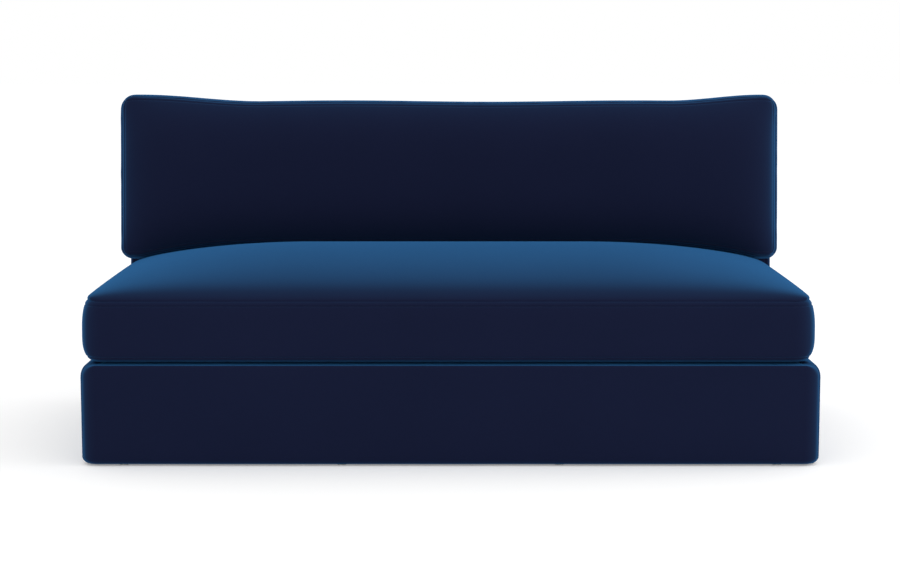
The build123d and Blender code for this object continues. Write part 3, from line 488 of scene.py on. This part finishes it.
def boxedCushion(shape, halfP, halfQ, plan, height, bulge):
    # Two panels on one p, q grid: plan(p, q, side) says where a point lies and height(p, q, side)
    # how high. The strip between runs straight from seam to seam, t from 0 to 1, and is pushed
    # out along its normals by bulge(t, outward, x) and the puckers, less the pinch and the grooves.
    p = gradedLine(halfP, edgeSteps, seams["panelStep"])
    q = gradedLine(halfQ, edgeSteps, seams["panelStep"])
    gridP, gridQ = np.meshgrid(p, q, indexing="ij")
    numbers = np.arange(gridP.size).reshape(gridP.shape)
    panels = []
    for side in (1, -1):
        x, y = plan(gridP, gridQ, side)
        w = height(gridP, gridQ, side)
        panels.append(np.stack([x, y, w], -1).reshape(-1, 3))
    border = loopOf(numbers)
    high, low = panels[0][border], panels[1][border]
    outward = outwardOf((high[:, :2] + low[:, :2]) / 2)
    along = lengthAlong(high[:, :2])
    depth = (high[:, 2] - low[:, 2]).mean()
    near = bandSteps / depth
    middleCount = max(int(round((depth - 2 * bandSteps[-1]) / seams["stripStep"])), 2)
    middle = np.linspace(near[-1], 1 - near[-1], middleCount + 1)
    puckerReach, *puckerWaves = shape["pucker"]
    puckers = waves(along, *puckerWaves)
    rows = []
    for t in np.concatenate([near[1:-1], middle, 1 - near[-2:0:-1]]):
        away = min(t, 1 - t)
        row = high + (low - high) * t
        out = bulge(t, outward, high[:, 0]) + np.exp(-((away / puckerReach) ** 2)) * puckers
        out = out - pinch(away * depth) - stitchGroove(away * depth)
        row[:, :2] += outward * out[:, None]
        rows.append(row)
    # the seam itself is drawn in, and the panels with it for a few millimetres
    x, y = gridP.ravel(), gridQ.ravel()
    awayP, awayQ = halfP - np.abs(x), halfQ - np.abs(y)
    edge = np.minimum(awayP, awayQ)
    pull = [np.sign(x) * (awayP < seams["pullWidth"]), np.sign(y) * (awayQ < seams["pullWidth"])]
    pull = np.stack(pull, -1)
    pull[border] = outward
    pull = unit(pull)
    for panel, way in zip(panels, (1, -1)):
        panel[:, :2] -= pull * pinch(edge)[:, None]
        panel[:, 2] -= way * shape["panelStitch"] * stitchGroove(edge)
    band = np.stack(rows)
    points = np.concatenate([panels[0], panels[1], band.reshape(-1, 3)])
    # the loops that the topstitching follows, each with the direction that it faces
    flat = np.column_stack([outward, 0 * along])
    loops = [(band[stitchIndex - 1], flat), (band[-stitchIndex], flat)]
    steps = (stitchIndex - 1, stitchIndex, stitchIndex + 1)
    for panel, way in zip(panels, (1, -1)):
        outer, middle, inner = [loopOf(numbers[k:-k, k:-k]) for k in steps]
        ring = panel[middle]
        # the next loop in has eight places fewer, so the slope is read from the heights alone
        rise = panel[inner, 2].mean() - panel[outer, 2].mean()
        run = edgeSteps[stitchIndex + 1] - edgeSteps[stitchIndex - 1]
        side = outwardOf(ring[:, :2]) * abs(rise) / run
        lean = np.column_stack([side, np.full(len(ring), float(way))])
        loops.append((ring, unit(lean)))
    return points, shellFaces(numbers, len(rows)), loops


stitchShape = {
    "pitch": 0.0042,
    "length": 0.0031,
    "width": 0.00075,
    "rings": ((-0.5, 0.35), (-0.22, 1), (0.22, 1), (0.5, 0.35)),  # place along and thickness
    "aim": 0.001,  # how far each way the seam's direction is read
}


def stitchArrays(ring, lean):
    # short spindles laid end to end along a closed loop, half sunk in the cloth
    s = stitchShape
    closed = np.concatenate([ring, ring[:1]])
    far = lengthAlong(closed)
    closedLean = np.concatenate([lean, lean[:1]])
    at = (np.arange(int(far[-1] / s["pitch"])) + 0.5) * s["pitch"]

    def follow(values, places):
        # the loop's values at places along it, straight between its points
        return np.stack([np.interp(places, far, values[:, k]) for k in range(3)], -1)

    middle, normal = follow(closed, at), unit(follow(closedLean, at))
    line = unit(follow(closed, at + s["aim"]) - follow(closed, at - s["aim"]))
    across = np.cross(line, normal)
    rows = []
    for share, size in s["rings"]:
        centre = middle + line * share * s["length"]
        for turn in np.arange(4) * pi / 2:
            spoke = across * cos(turn) + normal * sin(turn)
            rows.append(centre + spoke * s["width"] / 2 * size)
    points = np.stack(rows, 1)  # stitch x 16 x 3
    table = np.arange(16).reshape(4, 4)
    wrapped = np.concatenate([table, table[:, :1]], 1)
    faces = np.concatenate([gridFaces(wrapped), [[0, 1, 2, 3]], [[15, 14, 13, 12]]])
    numbers = np.arange(len(points))[:, None, None] * 16 + faces[None]
    return points.reshape(-1, 3), numbers.reshape(-1, 4)


def stitching(name, loops, body, place=None):
    # the rows of stitches on one cushion, as one piece
    allPoints, allFaces, count = [], [], 0
    for ring, lean in loops:
        points, faces = stitchArrays(ring, lean)
        allPoints.append(points if place is None else place(points))
        allFaces.append(faces + count)
        count += len(points)
    points, faces = np.concatenate(allPoints), np.concatenate(allFaces)
    makePiece(name, points, faces, body, materialOf["topstitchThread"])


# seat cushion, one long bench

seatShape = {
    "halfWidth": 0.9085,
    "toLeft": 0.005,  # the cushion lies a little to the left
    "front": -0.4745,
    "rear": 0.3228,
    "lowSeam": 0.2584,
    "topSeam": 0.4083,
    "underside": 0.2563,
    "crown": 0.103,
    "crownRun": 0.535,
    "crownPower": 0.57,
    "topInset": 0.0113,
    "lowInset": (0.0215, 0.0110),  # at the sides and at the front and rear
    "topPower": 2.7,  # how quickly the strip swells from its top seam and from its low seam
    "lowPower": (3.6, 10),
    "cornerRadius": 0.047,
    "bellyRun": 0.030,
    "bellyPower": 0.8,
    "ridge": 1.4,  # how sharply the four slopes of the crown meet
    "zip": (0.700, 0.3363, 0.0145, 0.0034),  # half length, level, half width and depth
    "shoulder": 0.165,  # the crown's share that rises at once behind the seam
    "shoulderRun": 0.024,
    "pucker": (0.18, 3, (0.21, 0.13, 0.083), 0.0007),  # reach, seed, wavelengths and size
    "panelStitch": 0,  # the share of the topstitching's groove that shows on the panels
}


def seatCushionArrays():
    # a crown that rises from all four edges and a flat belly, with a strip widest at mid height
    s = seatShape
    middleY = (s["front"] + s["rear"]) / 2
    halfP = s["halfWidth"] - s["topInset"]
    halfQ = (s["rear"] - s["front"]) / 2 - s["topInset"]
    depth = s["topSeam"] - s["lowSeam"]

    def plan(p, q, side):
        # a rectangle with rounded corners, which has its own insets at the low seam
        awayP, awayQ = (0, 0) if side > 0 else [low - s["topInset"] for low in s["lowInset"]]
        sizeP, sizeQ = halfP - awayP, halfQ - awayQ
        radius = s["cornerRadius"] - awayP
        x, y = roundCorners(p * sizeP / halfP, q * sizeQ / halfQ, sizeP, sizeQ, radius, radius)
        return x - s["toLeft"], y + middleY

    def height(p, q, side):
        # above: the smooth minimum of the crown's end and cross slopes; below: a shallow belly
        if side > 0:
            ends = endRise(halfP - np.abs(p), s["crownRun"], s["crownPower"])
            front = shoulderLens(q, halfQ, 1, s["shoulder"], s["shoulderRun"])
            rear = archHeight(q, halfQ, s["crown"]) / s["crown"]
            both = np.where(q < 0, front, rear)
            n = s["ridge"]
            share = (np.maximum(ends, 1e-5) ** -n + np.maximum(both, 1e-5) ** -n - 1) ** (-1 / n)
            return s["topSeam"] + s["crown"] * share
        inP, inQ = halfP - np.abs(p), halfQ - np.abs(q)
        drop = endRise(inP, s["bellyRun"], s["bellyPower"])
        drop = drop * endRise(inQ, s["bellyRun"], s["bellyPower"])
        return s["lowSeam"] - (s["lowSeam"] - s["underside"]) * drop

    def bulge(t, outward, x):
        # insets of the sewn edges and of the widest line, less the straight line between
        facing = outward[:, 1] ** 2
        low = s["lowInset"][0] + (s["lowInset"][1] - s["lowInset"][0]) * facing
        power = s["lowPower"][0] + (s["lowPower"][1] - s["lowPower"][0]) * facing
        straight = s["topInset"] + (low - s["topInset"]) * t
        share = abs(2 * t - 1)
        inset = s["topInset"] * share ** s["topPower"] if t < 0.5 else low * share**power
        sunk = zipDip(outward[:, 1], x, s["topSeam"] - depth * t, s["zip"])
        return straight - inset - sunk

    return boxedCushion(s, halfP, halfQ, plan, height, bulge)


points, faces, loops = seatCushionArrays()
seatCushion = makePiece("seatCushion", points, faces, "seat_cushion", velvet)
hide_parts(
    "seat_core", "seat_wrap", "seat_top_panel", "seat_bottom_panel",
    "seat_front_boxing", "seat_left_boxing", "seat_right_boxing", "seat_rear_boxing",
)
stitching("seatStitches", loops[:2], "seat_cushion")
print("seat cushion", len(points))

# back cushion, drawn on a plane that reclines with the back frame

backShape = {
    "recline": radians(6),
    "footY": 0.3295,
    "footZ": 0.256,
    "halfWidth": 0.9175,
    "toLeft": 0.0030,
    "gap": 0.0025,
    "rearPuff": 0.032,
    "boxing": 0.130,
    "crown": 0.050,
    "crownRun": 0.300,
    "fall": 3.8,  # how squarely the front falls to its top and low seams, and to its ends
    "endFall": 6,
    "endDrop": ((0.010, 0.011), (0.022, 0.018)),  # depth and run at the left and right seams
    "middleTop": 0.615,
    "earRise": 0.018,
    "earStart": (0.515, 0.600),  # left and right
    "earShoulder": (0.855, 0.865),
    "topSlack": 0.0019,
    "slackLength": 0.80,
    "slackStart": 0.29,
    "cornerLow": 0.171,
    "archRise": 0.035,
    "archStart": 0.540,
    "archEnd": 0.850,
    "topInset": 0.012,
    "sideInset": 0.007,
    "lowInset": 0.008,
    "topRadius": 0.035,
    "lowRadius": 0.024,
    "puff": 0.0085,  # how far the strip bulges, and how evenly
    "puffPower": 2.4,
    "zip": (0.420, 0.0595, 0.0145, 0.0040),  # half length, depth, half width and how far in
    "pucker": (0.2, 5, (0.19, 0.12, 0.075, 0.052), 0.0011),  # reach, seed, wavelengths and size
    "panelStitch": 0.6,
}


def fromLean(local):
    # from across, up the recline and forward of the frame, to the room
    b = backShape
    c, s = cos(b["recline"]), sin(b["recline"])
    x, up, out = local[..., 0], local[..., 1], local[..., 2]
    return np.stack([x, b["footY"] + up * s - out * c, b["footZ"] + up * c + out * s], -1)


def backCushionArrays():
    # top and low edges as lines over x, a crowned front that falls off to its seams and a rear
    # arch, all of it on the reclined plane
    b = backShape
    halfP = b["halfWidth"] - b["sideInset"]
    halfQ = 0.5 * (b["middleTop"] + b["earRise"] - b["topInset"] - b["cornerLow"] - b["lowInset"])
    rearSeam = b["gap"] + b["rearPuff"]
    frontSeam = rearSeam + b["boxing"]

    def topLine(x):
        # a slow wave in the middle, eased up to the ears by 3s^2 - 2s^3
        start = np.where(x < 0, *b["earStart"])
        shoulder = np.where(x < 0, *b["earShoulder"])
        share = np.clip((np.abs(x) - start) / (shoulder - start), 0, 1)
        line = b["middleTop"] + b["earRise"] * share**2 * (3 - 2 * share) - b["topInset"]
        slack = np.cos(2 * pi * (x + b["slackStart"]) / b["slackLength"])
        return line + b["topSlack"] * slack * (1 - share)

    def lowLine(x):
        # raised in the middle, and down to the low corners on a parabola
        share = np.clip((np.abs(x) - b["archStart"]) / (b["archEnd"] - b["archStart"]), 0, 1)
        return b["cornerLow"] + b["archRise"] * (1 - share**2) + b["lowInset"]

    def plan(p, q, side):
        # a rectangle with rounded corners, stretched between the two lines
        x, y = roundCorners(p, q, halfP, halfQ, b["topRadius"], b["lowRadius"])
        low, high = lowLine(x), topLine(x)
        return x - b["toLeft"], low + (y + halfQ) / (2 * halfQ) * (high - low)

    def height(p, q, side):
        # in front: a crown less powers of the way to its seams and a drop at each end;
        # behind: an arch
        inward = np.clip((halfP - np.abs(p)) / b["crownRun"], 0, 1)
        if side > 0:
            ends = 1 - (1 - inward) ** b["endFall"]
            (leftDrop, leftRun), (rightDrop, rightRun) = b["endDrop"]
            drop = leftDrop * np.exp(-(halfP + p) / leftRun)
            drop = drop + rightDrop * np.exp(-(halfP - p) / rightRun)
            return frontSeam - drop + b["crown"] * ends * (1 - (np.abs(q) / halfQ) ** b["fall"])
        return rearSeam - archHeight(q, halfQ, b["rearPuff"] * endRise(inward, 1))

    def bulge(t, outward, x):
        # widest in the middle of the strip, and sunk over the zip
        sunk = zipDip(-outward[:, 1], x, frontSeam - b["boxing"] * t, b["zip"])
        return b["puff"] * (1 - abs(2 * t - 1) ** b["puffPower"]) - sunk

    return boxedCushion(b, halfP, halfQ, plan, height, bulge)


points, faces, loops = backCushionArrays()
points = fromLean(points)
backCushion = makePiece("backCushion", points, faces, "back_cushion", velvet)
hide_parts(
    "back_cushion_core", "back_cushion_wrap", "back_cushion_front",
    "back_cushion_rear", "back_cushion_top_boxing", "back_cushion_left_boxing",
    "back_cushion_right_boxing", "back_cushion_low_boxing",
)
stitching("backCushionStitches", loops, "back_cushion", fromLean)
print("back cushion", len(points))

# base upholstery: one profile carried round the front of the seat box

baseShape = {
    "halfWidth": 0.9145,
    "front": -0.4825,
    "joint": 0.3385,  # the side covers tuck in beside the back frame's rounded edge
    "deck": 0.256,
    "hem": 0.005,
    "cornerRadius": 0.042,
    "rollRadius": 0.040,
    "rollPower": 2.3,  # 2 is a quarter circle
    "hemRadius": 0.014,
    "deckBand": 0.075,
    "hemReturn": 0.060,
    "cloth": 0.0016,
    "seamDepth": 0.0036,
    "seamReach": 0.0026,
    "seamTurn": 0.26,  # how far round the corner from the side
    "frontRoll": (0.016, 4.5),  # the front's tighter roll: radius and power
    "rollTurn": 4,  # how late round the corner that roll begins
    "brow": (0.0068, 0.026, 0.027),  # how far the front edge is pressed down, where and how wide
    "faceReach": 0.03,  # how far under and over the face the seams and the waves fade
    "faceEnd": 0.06,
    "waves": (21, (0.9, 0.47, 0.31), 0.0006),  # seed, wavelengths and size
    "step": 0.014,
}


def baseProfile():
    # inset and height, from the deck band over the roll, down the face and under the hem
    b = baseShape
    roll = np.linspace(0, pi / 2, 15)
    hem = np.linspace(0, pi / 2, 9)
    band = np.linspace(b["deckBand"], b["rollRadius"], 6)[:-1]
    face = np.linspace(b["deck"] - b["rollRadius"], b["hem"] + b["hemRadius"], 16)[1:-1]
    under = np.linspace(b["hemRadius"], b["hemReturn"], 6)[1:]
    radius, power, low = b["rollRadius"], 2 / b["rollPower"], b["hemRadius"]
    parts = [
        (band, 0 * band + b["deck"]),
        (radius * (1 - np.sin(roll) ** power), b["deck"] - radius * (1 - np.cos(roll) ** power)),
        (0 * face, face),
        (low * (1 - np.cos(hem)), b["hem"] + low * (1 - np.sin(hem))),
        (under, 0 * under + b["hem"]),
    ]
    return [np.concatenate(line) for line in zip(*parts)]


def basePath(inset):
    # the seat box's outline from one rear end round the front to the other, drawn in by inset
    b = baseShape
    core = np.maximum(b["cornerRadius"], inset)
    radius = core - inset
    cornerX, cornerY = b["halfWidth"] - core, b["front"] + core
    side = np.linspace(0, 1, int((b["joint"] - b["front"]) / b["step"]))[:-1, None]
    turn = np.linspace(0, pi / 2, 41)[:, None]
    front = np.linspace(-1, 1, int(2 * b["halfWidth"] / b["step"]))[1:-1, None]
    x = np.concatenate([cornerX + radius + 0 * side, cornerX + radius * np.cos(turn)])
    y = [b["joint"] + (cornerY - b["joint"]) * side, cornerY - radius * np.sin(turn)]
    half = np.stack([x, np.concatenate(y)], -1)  # from the right rear end to the front
    middle = np.stack([cornerX * front, cornerY - radius + 0 * front], -1)
    return np.concatenate([half * (-1, 1), middle, half[::-1]])


def baseUpholsteryArrays():
    # the profile at every place of the path; the front's roll is pressed lower, and the face is
    # pushed along its normals by the waves and drawn in at the two corner seams
    b = baseShape
    inset, height = baseProfile()
    plan = basePath(inset)  # path x profile x 2
    outer = basePath(np.array([0.0]))[:, 0]
    along = lengthAlong(outer)
    ahead = np.gradient(outer, axis=0)
    outward = unit(np.stack([ahead[:, 1], -ahead[:, 0]], -1))
    radius, power = b["frontRoll"]
    away = np.clip((radius - inset) / radius, 0, 1)
    frontRoll = b["deck"] - radius * (1 - (1 - away**power) ** (1 / power))
    deep, where, wide = b["brow"]
    frontRoll = frontRoll - deep * np.exp(-(((inset - where) / wide) ** 4))
    onRoll = height > b["deck"] - b["rollRadius"] - 0.001  # with a millimetre to spare
    change = np.where(onRoll, frontRoll - height, 0)
    z = height[None, :] + change[None, :] * outward[:, 1:] ** b["rollTurn"]
    side = b["joint"] - b["front"] - b["cornerRadius"]
    quarter = b["cornerRadius"] * pi / 2
    seamPlaces = [side + quarter * b["seamTurn"], along[-1] - side - quarter * b["seamTurn"]]
    groove = sum(np.exp(-np.abs(along - place) / b["seamReach"]) for place in seamPlaces)
    onFace = np.exp(-((np.minimum(inset, b["faceEnd"]) / b["faceReach"]) ** 2))
    push = -b["seamDepth"] * groove[:, None] * onFace[None, :]
    push = push + waves(along, *b["waves"])[:, None] * onFace[None, :]
    plan = plan + outward[:, None, :] * push[..., None]
    points = np.concatenate([plan, z[..., None]], -1)
    numbers = np.arange(plan.shape[0] * plan.shape[1]).reshape(plan.shape[:2])
    return points.reshape(-1, 3), gridFaces(numbers)


points, faces = baseUpholsteryArrays()
baseUpholstery = makePiece("baseUpholstery", points, faces, "frame", velvet)
thicken(baseUpholstery, baseShape["cloth"])
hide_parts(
    "front_cover", "left_cover", "right_cover", "front_padding", "left_padding",
    "right_padding",
)
print("base upholstery", len(points))

# back frame upholstery: a reclined section carried across the sofa

backFrameShape = {
    "halfWidth": 0.9145,
    "joint": 0.3295,
    "rear": 0.4825,
    "deck": 0.256,
    "top": 0.790,
    "hem": 0.005,
    "recline": radians(6),
    "topFrontRadius": 0.030,
    "topRearRadius": 0.020,
    "lowRadius": 0.005,
    "endRadius": 0.014,
    "rearSeam": 0.020,
    "seamDepth": 0.0015,
    "seamReach": 0.0030,
    "endPuff": 0.0015,
    "endSteps": (1, 2, 3.5, 6, 10, 16, 25),  # millimetres in from each end seam
    "waves": (31, (0.71, 0.43, 0.29), 0.0006),  # seed, wavelengths and size
    "step": 0.013,
}


def cornerArc(before, corner, after, radius, count):
    # an arc of the radius that touches both lines through the corner
    back, ahead = unit(before - corner), unit(after - corner)
    half = np.arccos(np.dot(back, ahead)) / 2
    middle = corner + unit(back + ahead) * radius / sin(half)
    start = corner + back * radius / np.tan(half) - middle
    finish = corner + ahead * radius / np.tan(half) - middle
    sweep = pi - 2 * half
    t = np.linspace(0, 1, count)[:, None]
    return middle + (start * np.sin((1 - t) * sweep) + finish * np.sin(t * sweep)) / sin(sweep)


def evenly(line, count):
    # the same line with its points at even distances
    far = lengthAlong(line)
    t = np.linspace(0, far[-1], count)
    return np.stack([np.interp(t, far, line[:, k]) for k in range(2)], -1)


def backFrameSection():
    # front, top, rear and underside of the section, each from one corner's middle to the next
    b = backFrameShape
    frontTop = b["joint"] + (b["top"] - b["deck"]) * tan(b["recline"])
    corners = [(b["joint"], b["hem"]), (b["joint"], b["deck"]), (frontTop, b["top"])]
    corners = np.array(corners + [(b["rear"], b["top"]), (b["rear"], b["hem"])])
    arcs = [
        cornerArc(corners[4], corners[0], corners[1], b["lowRadius"], 11),
        cornerArc(corners[1], corners[2], corners[3], b["topFrontRadius"], 13),
        cornerArc(corners[2], corners[3], corners[4], b["topRearRadius"], 13),
        cornerArc(corners[3], corners[4], corners[0], b["lowRadius"], 11),
    ]
    up = int((b["top"] - b["hem"]) / b["step"])
    front = evenly(np.concatenate([arcs[0][5:], corners[1:2], arcs[1][:7]]), up)
    top = evenly(np.concatenate([arcs[1][6:], arcs[2][:7]]), 25)
    rear = evenly(np.concatenate([arcs[2][6:], arcs[3][:6]]), up)
    under = evenly(np.concatenate([arcs[3][5:], arcs[0][:6]]), 25)
    return front, top, rear, under


def backFrameArrays():
    # the section at every x, drawn in at the rounded ends and the seams and pushed by the waves
    b = backFrameShape
    front, top, rear, under = backFrameSection()
    ring = np.concatenate([front[:-1], top[:-1], rear[:-1], under[:-1]])
    outward = -outwardOf(ring)  # the section runs clockwise
    turns = np.linspace(0, pi / 2, 9)
    flat = b["halfWidth"] - b["endRadius"]
    near = flat - np.array(b["endSteps"]) / 1000
    middle = np.linspace(-near[-1], near[-1], int(2 * near[-1] / b["step"]))[1:-1]
    rounded = flat + b["endRadius"] * np.sin(turns)
    x = np.concatenate([-rounded[::-1], -near, middle, near[::-1], rounded])
    inset = b["endRadius"] * (1 - np.cos(turns))
    inset = np.concatenate([inset[::-1], np.zeros(len(x) - 2 * len(turns)), inset])
    seam = np.exp(-(((np.abs(x) - flat) / b["seamReach"]) ** 2))
    away = np.hypot(ring[:, 0] - b["rear"] + b["rearSeam"], ring[:, 1] - b["top"])
    rearSeam = np.exp(-((away / b["seamReach"]) ** 2))
    push = -inset[:, None] - b["seamDepth"] * np.maximum(seam[:, None], rearSeam[None, :])
    push = push + waves(x, *b["waves"])[:, None]
    plane = ring[None] + outward[None] * push[..., None]
    across = np.broadcast_to(x[:, None, None], plane.shape[:2] + (1,))
    points = [np.concatenate([across, plane], -1).reshape(-1, 3)]
    size = len(ring)
    table = np.arange(len(x) * size).reshape(len(x), size)
    faces = [gridFaces(np.concatenate([table, table[:, :1]], 1))]
    frontEnd, topEnd, rearEnd = np.cumsum([len(front) - 1, len(top) - 1, len(rear) - 1])

    def fourEdges(values):
        # the section's front, top, rear and underside, each running up or rearwards
        first, high = values[: frontEnd + 1], values[frontEnd : topEnd + 1]
        last = values[topEnd : rearEnd + 1][::-1]
        return first, high, last, np.concatenate([values[rearEnd:], values[:1]])[::-1]

    # each end is closed by a patch blended between its four edges
    for row, side in ((0, -1), (len(x) - 1, 1)):
        first, high, last, low = fourEdges(plane[row])
        v = np.linspace(0, 1, len(first))[:, None, None]
        u = np.linspace(0, 1, len(high))[None, :, None]
        patch = (1 - u) * first[:, None] + u * last[:, None]
        patch = patch + (1 - v) * low[None] + v * high[None]
        patch = patch - (1 - u) * (1 - v) * first[0] - u * (1 - v) * last[0]
        patch = patch - (1 - u) * v * first[-1] - u * v * last[-1]
        puff = side * b["endPuff"] * np.sin(pi * u) ** 0.5 * np.sin(pi * v) ** 0.3
        patch = np.concatenate([np.full(patch.shape[:2] + (1,), x[row]) + puff, patch], -1)
        numbers = np.zeros(patch.shape[:2], int)
        numbers[:, 0], numbers[-1], numbers[:, -1], numbers[0] = fourEdges(table[row])
        inner = patch[1:-1, 1:-1].reshape(-1, 3)
        start = sum(len(block) for block in points)
        numbers[1:-1, 1:-1] = start + np.arange(len(inner)).reshape(numbers[1:-1, 1:-1].shape)
        points.append(inner)
        faces.append(gridFaces(numbers, flip=side > 0))
    return np.concatenate(points), np.concatenate(faces)


points, faces = backFrameArrays()
backUpholstery = makePiece("backUpholstery", points, faces, "frame", velvet)
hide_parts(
    "inside_back_cover", "outside_back_cover", "left_end_cover",
    "right_end_cover", "back_padding", "end_padding",
)
print("back frame upholstery", len(points))

# deck pad, felt, deck cloth and dust cloth

layers = {
    "half": 0.8389,  # the felt and the foam lie inside the edge padding
    "front": -0.4069,
    "rear": 0.3292,
    "feltLow": 0.2259,
    "felt": 0.0022,
    "foamLow": 0.2284,
    "foamTop": 0.2534,
    "foamEdge": 0.008,
    "foamCorner": 0.02,
    "foamStep": 0.03,
    "deckHalf": 0.8395,
    "deckFront": -0.4075,
    "deckTop": 0.2560,
    "deckCloth": 0.0015,
    "deckSag": 0.0006,
    "deckReach": 0.06,  # how far in from its edges the deck begins to sag
    "springPitch": 0.19,
    "springSwing": 0.4,  # the share of the sag that differs on and between the springs
    "dustHalf": 0.8995,
    "dustEdge": 0.4675,
    "dustLow": 0.0040,
    "dustCloth": 0.0008,
    "dustSag": 0.0012,
    "dustReach": 0.2,
    "step": 0.02,
}


def sheetArrays(halfWidth, front, rear, height):
    # an even grid over a rectangle, lifted to height(x, y)
    x = np.linspace(-halfWidth, halfWidth, int(2 * halfWidth / layers["step"]))
    y = np.linspace(front, rear, int((rear - front) / layers["step"]))
    gridX, gridY = np.meshgrid(x, y, indexing="ij")
    points = np.stack([gridX, gridY, height(gridX, gridY)], -1).reshape(-1, 3)
    return points, gridFaces(np.arange(gridX.size).reshape(gridX.shape))


def edgeShare(x, y, halfWidth, front, rear, reach):
    # 0 at the sheet's edges and 1 further in
    away = np.minimum(halfWidth - np.abs(x), np.minimum(y - front, rear - y))
    return 1 - np.exp(-((away / reach) ** 2))


def deckDip(x, y):
    # the cloth and the foam sag a little inside their edges, in waves of the springs' pitch
    c = layers
    share = edgeShare(x, y, c["deckHalf"], c["deckFront"], c["rear"], c["deckReach"])
    return c["deckSag"] * share * (1 + c["springSwing"] * np.cos(2 * pi * x / c["springPitch"]))


def deckFoamArrays():
    # a slab whose top and bottom grids meet in a rounded edge: insets run with a quarter circle
    c = layers
    halfP, halfQ = c["half"], (c["rear"] - c["front"]) / 2
    middle, edge = (c["rear"] + c["front"]) / 2, c["foamEdge"]
    steps = edge * (1 - np.cos(np.linspace(0, pi / 2, 6)))
    p, q = gradedLine(halfP, steps, c["foamStep"]), gradedLine(halfQ, steps, c["foamStep"])
    gridP, gridQ = np.meshgrid(p, q, indexing="ij")
    away = np.minimum(np.minimum(halfP - np.abs(gridP), halfQ - np.abs(gridQ)) / edge, 1)
    drop = edge * (1 - np.sqrt(np.maximum(1 - (1 - away) ** 2, 0)))
    x, y = roundCorners(gridP, gridQ, halfP, halfQ, c["foamCorner"], c["foamCorner"])
    y = y + middle
    top = c["foamTop"] - drop - deckDip(x, y)
    low = c["foamLow"] + drop
    points = [np.stack([x, y, z], -1).reshape(-1, 3) for z in (top, low)]
    return np.concatenate(points), shellFaces(np.arange(x.size).reshape(x.shape), 0)


def makeLayers():
    # the foam slab with three thin sheets, each a grid at the height of its upper face
    c = layers

    def feltHeight(x, y):
        # level
        return c["feltLow"] + c["felt"] + 0 * x

    def deckHeight(x, y):
        # level, less the sag
        return c["deckTop"] - deckDip(x, y)

    def dustHeight(x, y):
        # tacked along its edges and hanging a hair lower further in
        share = edgeShare(x, y, c["dustHalf"], -c["dustEdge"], c["dustEdge"], c["dustReach"])
        return c["dustLow"] + c["dustCloth"] + c["dustSag"] * (1 - share)

    points, faces = deckFoamArrays()
    foam = makePiece("deckFoam", points, faces, "frame", materialOf["foamCells"])
    points, faces = sheetArrays(c["half"], c["front"], c["rear"], feltHeight)
    felt = makePiece("springFelt", points, faces, "frame", materialOf["feltFibre"])
    points, faces = sheetArrays(c["deckHalf"], c["deckFront"], c["rear"], deckHeight)
    deck = makePiece("deckCloth", points, faces, "frame", materialOf["deckWeave"])
    points, faces = sheetArrays(c["dustHalf"], -c["dustEdge"], c["dustEdge"], dustHeight)
    dust = makePiece("dustCloth", points, faces, "frame", materialOf["dustFibre"])
    for sheet, cloth in ((felt, "felt"), (deck, "deckCloth"), (dust, "dustCloth")):
        thicken(sheet, c[cloth])
    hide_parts("deck_foam")
    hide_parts("insulating_felt")
    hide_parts("deck_cloth")
    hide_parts("dust_cover")


makeLayers()
print("layers")

# floor, light and camera

stage = {
    "floorSize": 40,
    "cameraPlace": (-0.0012, -5.2965, 1.0497),
    "cameraPitch": 82.95,
    "focal": 79.45,
    "skyLevel": 1.0,
    "floorTone": 0.85,
    "floorGlow": 0.24,  # only for the camera's own view of the floor
    "lamps": {  # size, power, place, turn in degrees
        "fromRight": ((3, 3), 45, (4.4, -0.4, 2.4), (0, 62, -6)),
    },
}


def makeStage():
    # a pale floor, an even white world, the soft lamp and the camera
    mesh = bpy.data.meshes.new("floor")
    h = stage["floorSize"]
    mesh.from_pydata([(-h, -h, 0), (h, -h, 0), (h, h, 0), (-h, h, 0)], [], [(0, 1, 2, 3)])
    floor = bpy.data.objects.new("floor", mesh)
    scene = bpy.context.scene
    scene.collection.objects.link(floor)
    material, tree, shader = newMaterial("paleFloor")
    values = {
        "Base Color": (*[stage["floorTone"]] * 3, 1),
        "Roughness": 1,
        "Specular IOR Level": 0,
        "Emission Color": (*[stage["floorGlow"]] * 3, 1),
        "Emission Strength": addNode(tree, "LightPath", {}).outputs["Is Camera Ray"],
    }
    fillNode(tree, shader, values)
    mesh.materials.append(material)
    world = bpy.data.worlds.new("studio")
    scene.world = world
    world.use_nodes = True
    sky = world.node_tree.nodes["Background"]
    fillNode(world.node_tree, sky, {"Color": (1, 1, 1, 1), "Strength": stage["skyLevel"]})
    for name, (size, power, place, turn) in stage["lamps"].items():
        lamp = bpy.data.lights.new(name, "AREA")
        lamp.shape = "RECTANGLE"
        lamp.size, lamp.size_y = size
        lamp.energy = power
        holder = bpy.data.objects.new(name, lamp)
        holder.location = place
        holder.rotation_euler = [radians(angle) for angle in turn]
        scene.collection.objects.link(holder)
    data = bpy.data.cameras.new("camera")
    data.sensor_width = 36
    data.lens = stage["focal"]
    camera = bpy.data.objects.new("camera", data)
    camera.location = stage["cameraPlace"]
    camera.rotation_euler = (radians(stage["cameraPitch"]), 0, 0)
    scene.collection.objects.link(camera)
    scene.camera = camera
    scene.view_settings.view_transform = "Standard"


makeStage()
